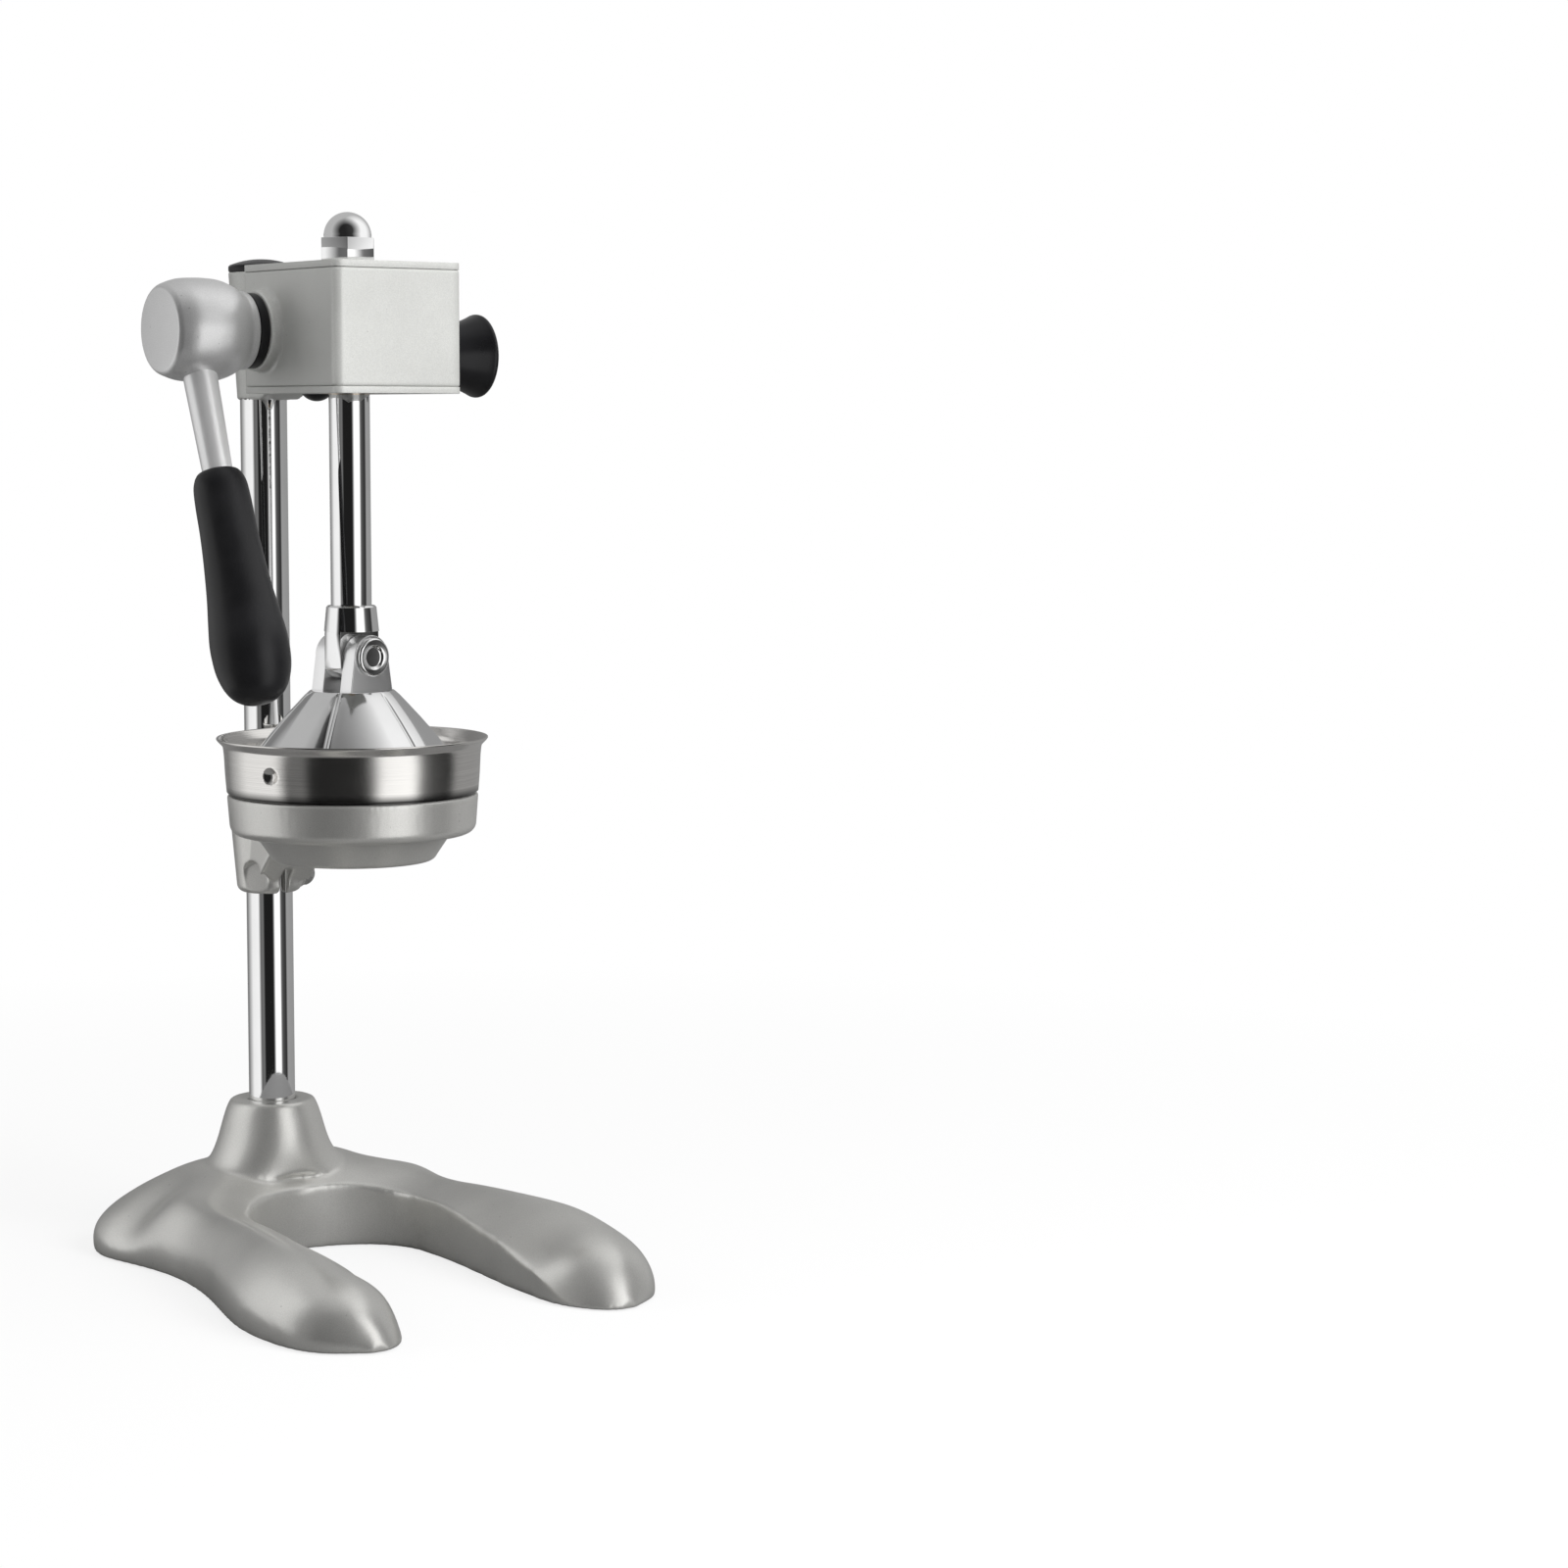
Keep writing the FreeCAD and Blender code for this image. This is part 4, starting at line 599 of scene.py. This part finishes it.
# Name, azimuth from the camera's side, distance, height, width and power; all point at LAMP_AIM.
LAMPS = [("key", 55, 1.9, 1.15, 1.3, 45), ("side", -85, 1.9, 1.0, 1.2, 7), ("top", 10, 0.3, 2.1, 1.4, 12)]
LAMP_AIM = Vector((0, 0, 0.25))


def camera():
    data = bpy.data.cameras.new("camera")
    data.lens = FOCAL_PIXELS / FRAME_PIXELS * SENSOR
    data.sensor_width = SENSOR
    data.clip_end = 20
    piece = link("camera", data)
    turn = Matrix((CAMERA_RIGHT, CAMERA_UP, -CAMERA_FORWARD)).transposed().to_4x4()
    piece.matrix_world = Matrix.Translation(CAMERA_AT) @ turn
    bpy.context.scene.camera = piece


def facing(tree, side):
    """How far a ray of the world goes towards a side of BRIGHT_SIDE's kind, as a cosine."""
    node = add_node(tree, "VectorMath", operation="DOT_PRODUCT")
    tree.links.new(add_node(tree, "TexCoord").outputs["Generated"], node.inputs[0])
    turn, rise = math.radians(side[0]) + TO_CAMERA, math.radians(side[1])
    node.inputs[1].default_value = (math.cos(turn) * math.cos(rise), math.sin(turn) * math.cos(rise),
                                    math.sin(rise))
    return node.outputs["Value"]


def choice(tree, share, first, second):
    """A shader that runs from the first to the second."""
    node = add_node(tree, "MixShader")
    for socket, value in zip(node.inputs, (share, first, second)):
        tree.links.new(value, socket)
    return node.outputs[0]


def world():
    """Soft light for dull surfaces, a graded sky for the metal, and plain white for the camera."""
    studio = bpy.data.worlds.new("studio")
    bpy.context.scene.world = studio
    studio.use_nodes = True
    tree = studio.node_tree
    soft = tree.nodes["Background"]
    soft.inputs["Strength"].default_value = AMBIENT
    split = add_node(tree, "SeparateXYZ")
    tree.links.new(add_node(tree, "TexCoord").outputs["Generated"], split.inputs[0])
    tree.links.new(ramp(tree, split.outputs["Z"], 1.0, 0.8, 0.0, 0.8), soft.inputs["Color"])
    sky = add_node(tree, "Background", Strength=1.0)
    overhead = ramp(tree, facing(tree, BRIGHT_SIDE), OVERHEAD, 1.0, *BRIGHT_FADE)
    ahead = ramp(tree, facing(tree, DARK_SIDE), 1.0, DARK_SKY, *DARK_FADE)
    tree.links.new(multiplied(tree, overhead, ahead), sky.inputs["Color"])
    white = add_node(tree, "Background", Strength=1.0)
    white.inputs["Color"].default_value = (1, 1, 1, 1)
    path = add_node(tree, "LightPath")
    mirrors = arithmetic(tree, "MAXIMUM", path.outputs["Is Glossy Ray"], path.outputs["Is Transmission Ray"])
    felt = choice(tree, mirrors, soft.outputs[0], sky.outputs[0])
    seen = choice(tree, path.outputs["Is Camera Ray"], felt, white.outputs[0])
    tree.links.new(seen, tree.nodes["World Output"].inputs["Surface"])


def lamps():
    for name, azimuth, away, height, wide, power in LAMPS:
        data = bpy.data.lights.new(name, "AREA")
        data.size = wide
        data.energy = power
        lamp = link(name, data)
        turn = math.radians(azimuth) + TO_CAMERA
        lamp.location = (away * math.cos(turn), away * math.sin(turn), height)
        lamp.rotation_euler = (LAMP_AIM - lamp.location).to_track_quat("-Z", "Y").to_euler()
        lamp.visible_glossy = False


def floor():
    """A white floor that keeps the shadow near the press and fades into the white behind it."""
    work = bmesh.new()
    bmesh.ops.create_circle(work, cap_ends=True, radius=FLOOR_RADIUS, segments=96)
    mesh = bpy.data.meshes.new("floor")
    work.to_mesh(mesh)
    work.free()
    piece = link("floor", mesh)
    material, tree, bsdf = shader("floor_white", Roughness=0.9)
    bsdf.inputs["Specular IOR Level"].default_value = 0.0
    length = add_node(tree, "VectorMath", operation="LENGTH")
    tree.links.new(object_vector(tree), length.inputs[0])
    glow = add_node(tree, "Emission", Strength=1.0)
    glow.inputs["Color"].default_value = (1, 1, 1, 1)
    path = add_node(tree, "LightPath")
    tone = ramp(tree, path.outputs["Is Camera Ray"], FLOOR_BOUNCE, FLOOR_SEEN, 0.0, 1.0)
    tree.links.new(tone, bsdf.inputs["Base Color"])
    fade = ramp(tree, length.outputs["Value"], FLOOR_GLOW, 1.0, *FLOOR_FADE)
    mirrored = ramp(tree, length.outputs["Value"], 0.0, 1.0, *MIRRORED_FADE)
    either = arithmetic(tree, "MAXIMUM",
                        arithmetic(tree, "MULTIPLY", fade, path.outputs["Is Camera Ray"]),
                        arithmetic(tree, "MULTIPLY", mirrored, path.outputs["Is Glossy Ray"]))
    tree.links.new(choice(tree, either, bsdf.outputs[0], glow.outputs[0]),
                   tree.nodes["Material Output"].inputs["Surface"])
    piece.data.materials.append(material)


def surround():
    """The ring of white boards and black flags that the chrome mirrors; nothing else sees it."""
    work = bmesh.new()
    turns = [2 * math.pi * side / SURROUND_SIDES for side in range(SURROUND_SIDES)]
    low, high = [[work.verts.new((SURROUND_RADIUS * math.cos(turn), SURROUND_RADIUS * math.sin(turn), level))
                  for turn in turns] for level in (SURROUND_FOOT, SURROUND_HEIGHT)]
    for side in range(SURROUND_SIDES):
        after = (side + 1) % SURROUND_SIDES
        work.faces.new((low[side], low[after], high[after], high[side]))
    mesh = bpy.data.meshes.new("surround")
    work.to_mesh(mesh)
    work.free()
    piece = link("surround", mesh)
    piece.rotation_euler = (0, 0, TO_CAMERA)
    material = bpy.data.materials.new("surround_boards")
    material.use_nodes = True
    tree = material.node_tree
    tree.nodes.clear()
    angle, _ = around(tree)
    share = add_node(tree, "MapRange")
    share.inputs["From Min"].default_value = -math.pi
    share.inputs["From Max"].default_value = math.pi
    tree.links.new(angle, share.inputs["Value"])
    bands = tree.nodes.new("ShaderNodeValToRGB")
    elements = bands.color_ramp.elements
    while len(elements) < len(BOARDS):
        elements.new(0.5)
    for element, (degrees, value) in zip(elements, BOARDS):
        element.position = degrees / 360 + 0.5
        element.color = (value, value, value, 1)
    tree.links.new(share.outputs["Result"], bands.inputs["Fac"])
    glow = add_node(tree, "Emission", Strength=BOARD_LIGHT)
    tree.links.new(bands.outputs["Color"], glow.inputs["Color"])
    output = add_node(tree, "OutputMaterial")
    tree.links.new(glow.outputs[0], output.inputs["Surface"])
    piece.data.materials.append(material)
    for kind in ("camera", "diffuse", "shadow", "transmission"):
        setattr(piece, "visible_" + kind, False)


camera()
world()
lamps()
floor()
surround()
bpy.context.scene.view_settings.view_transform = "Standard"
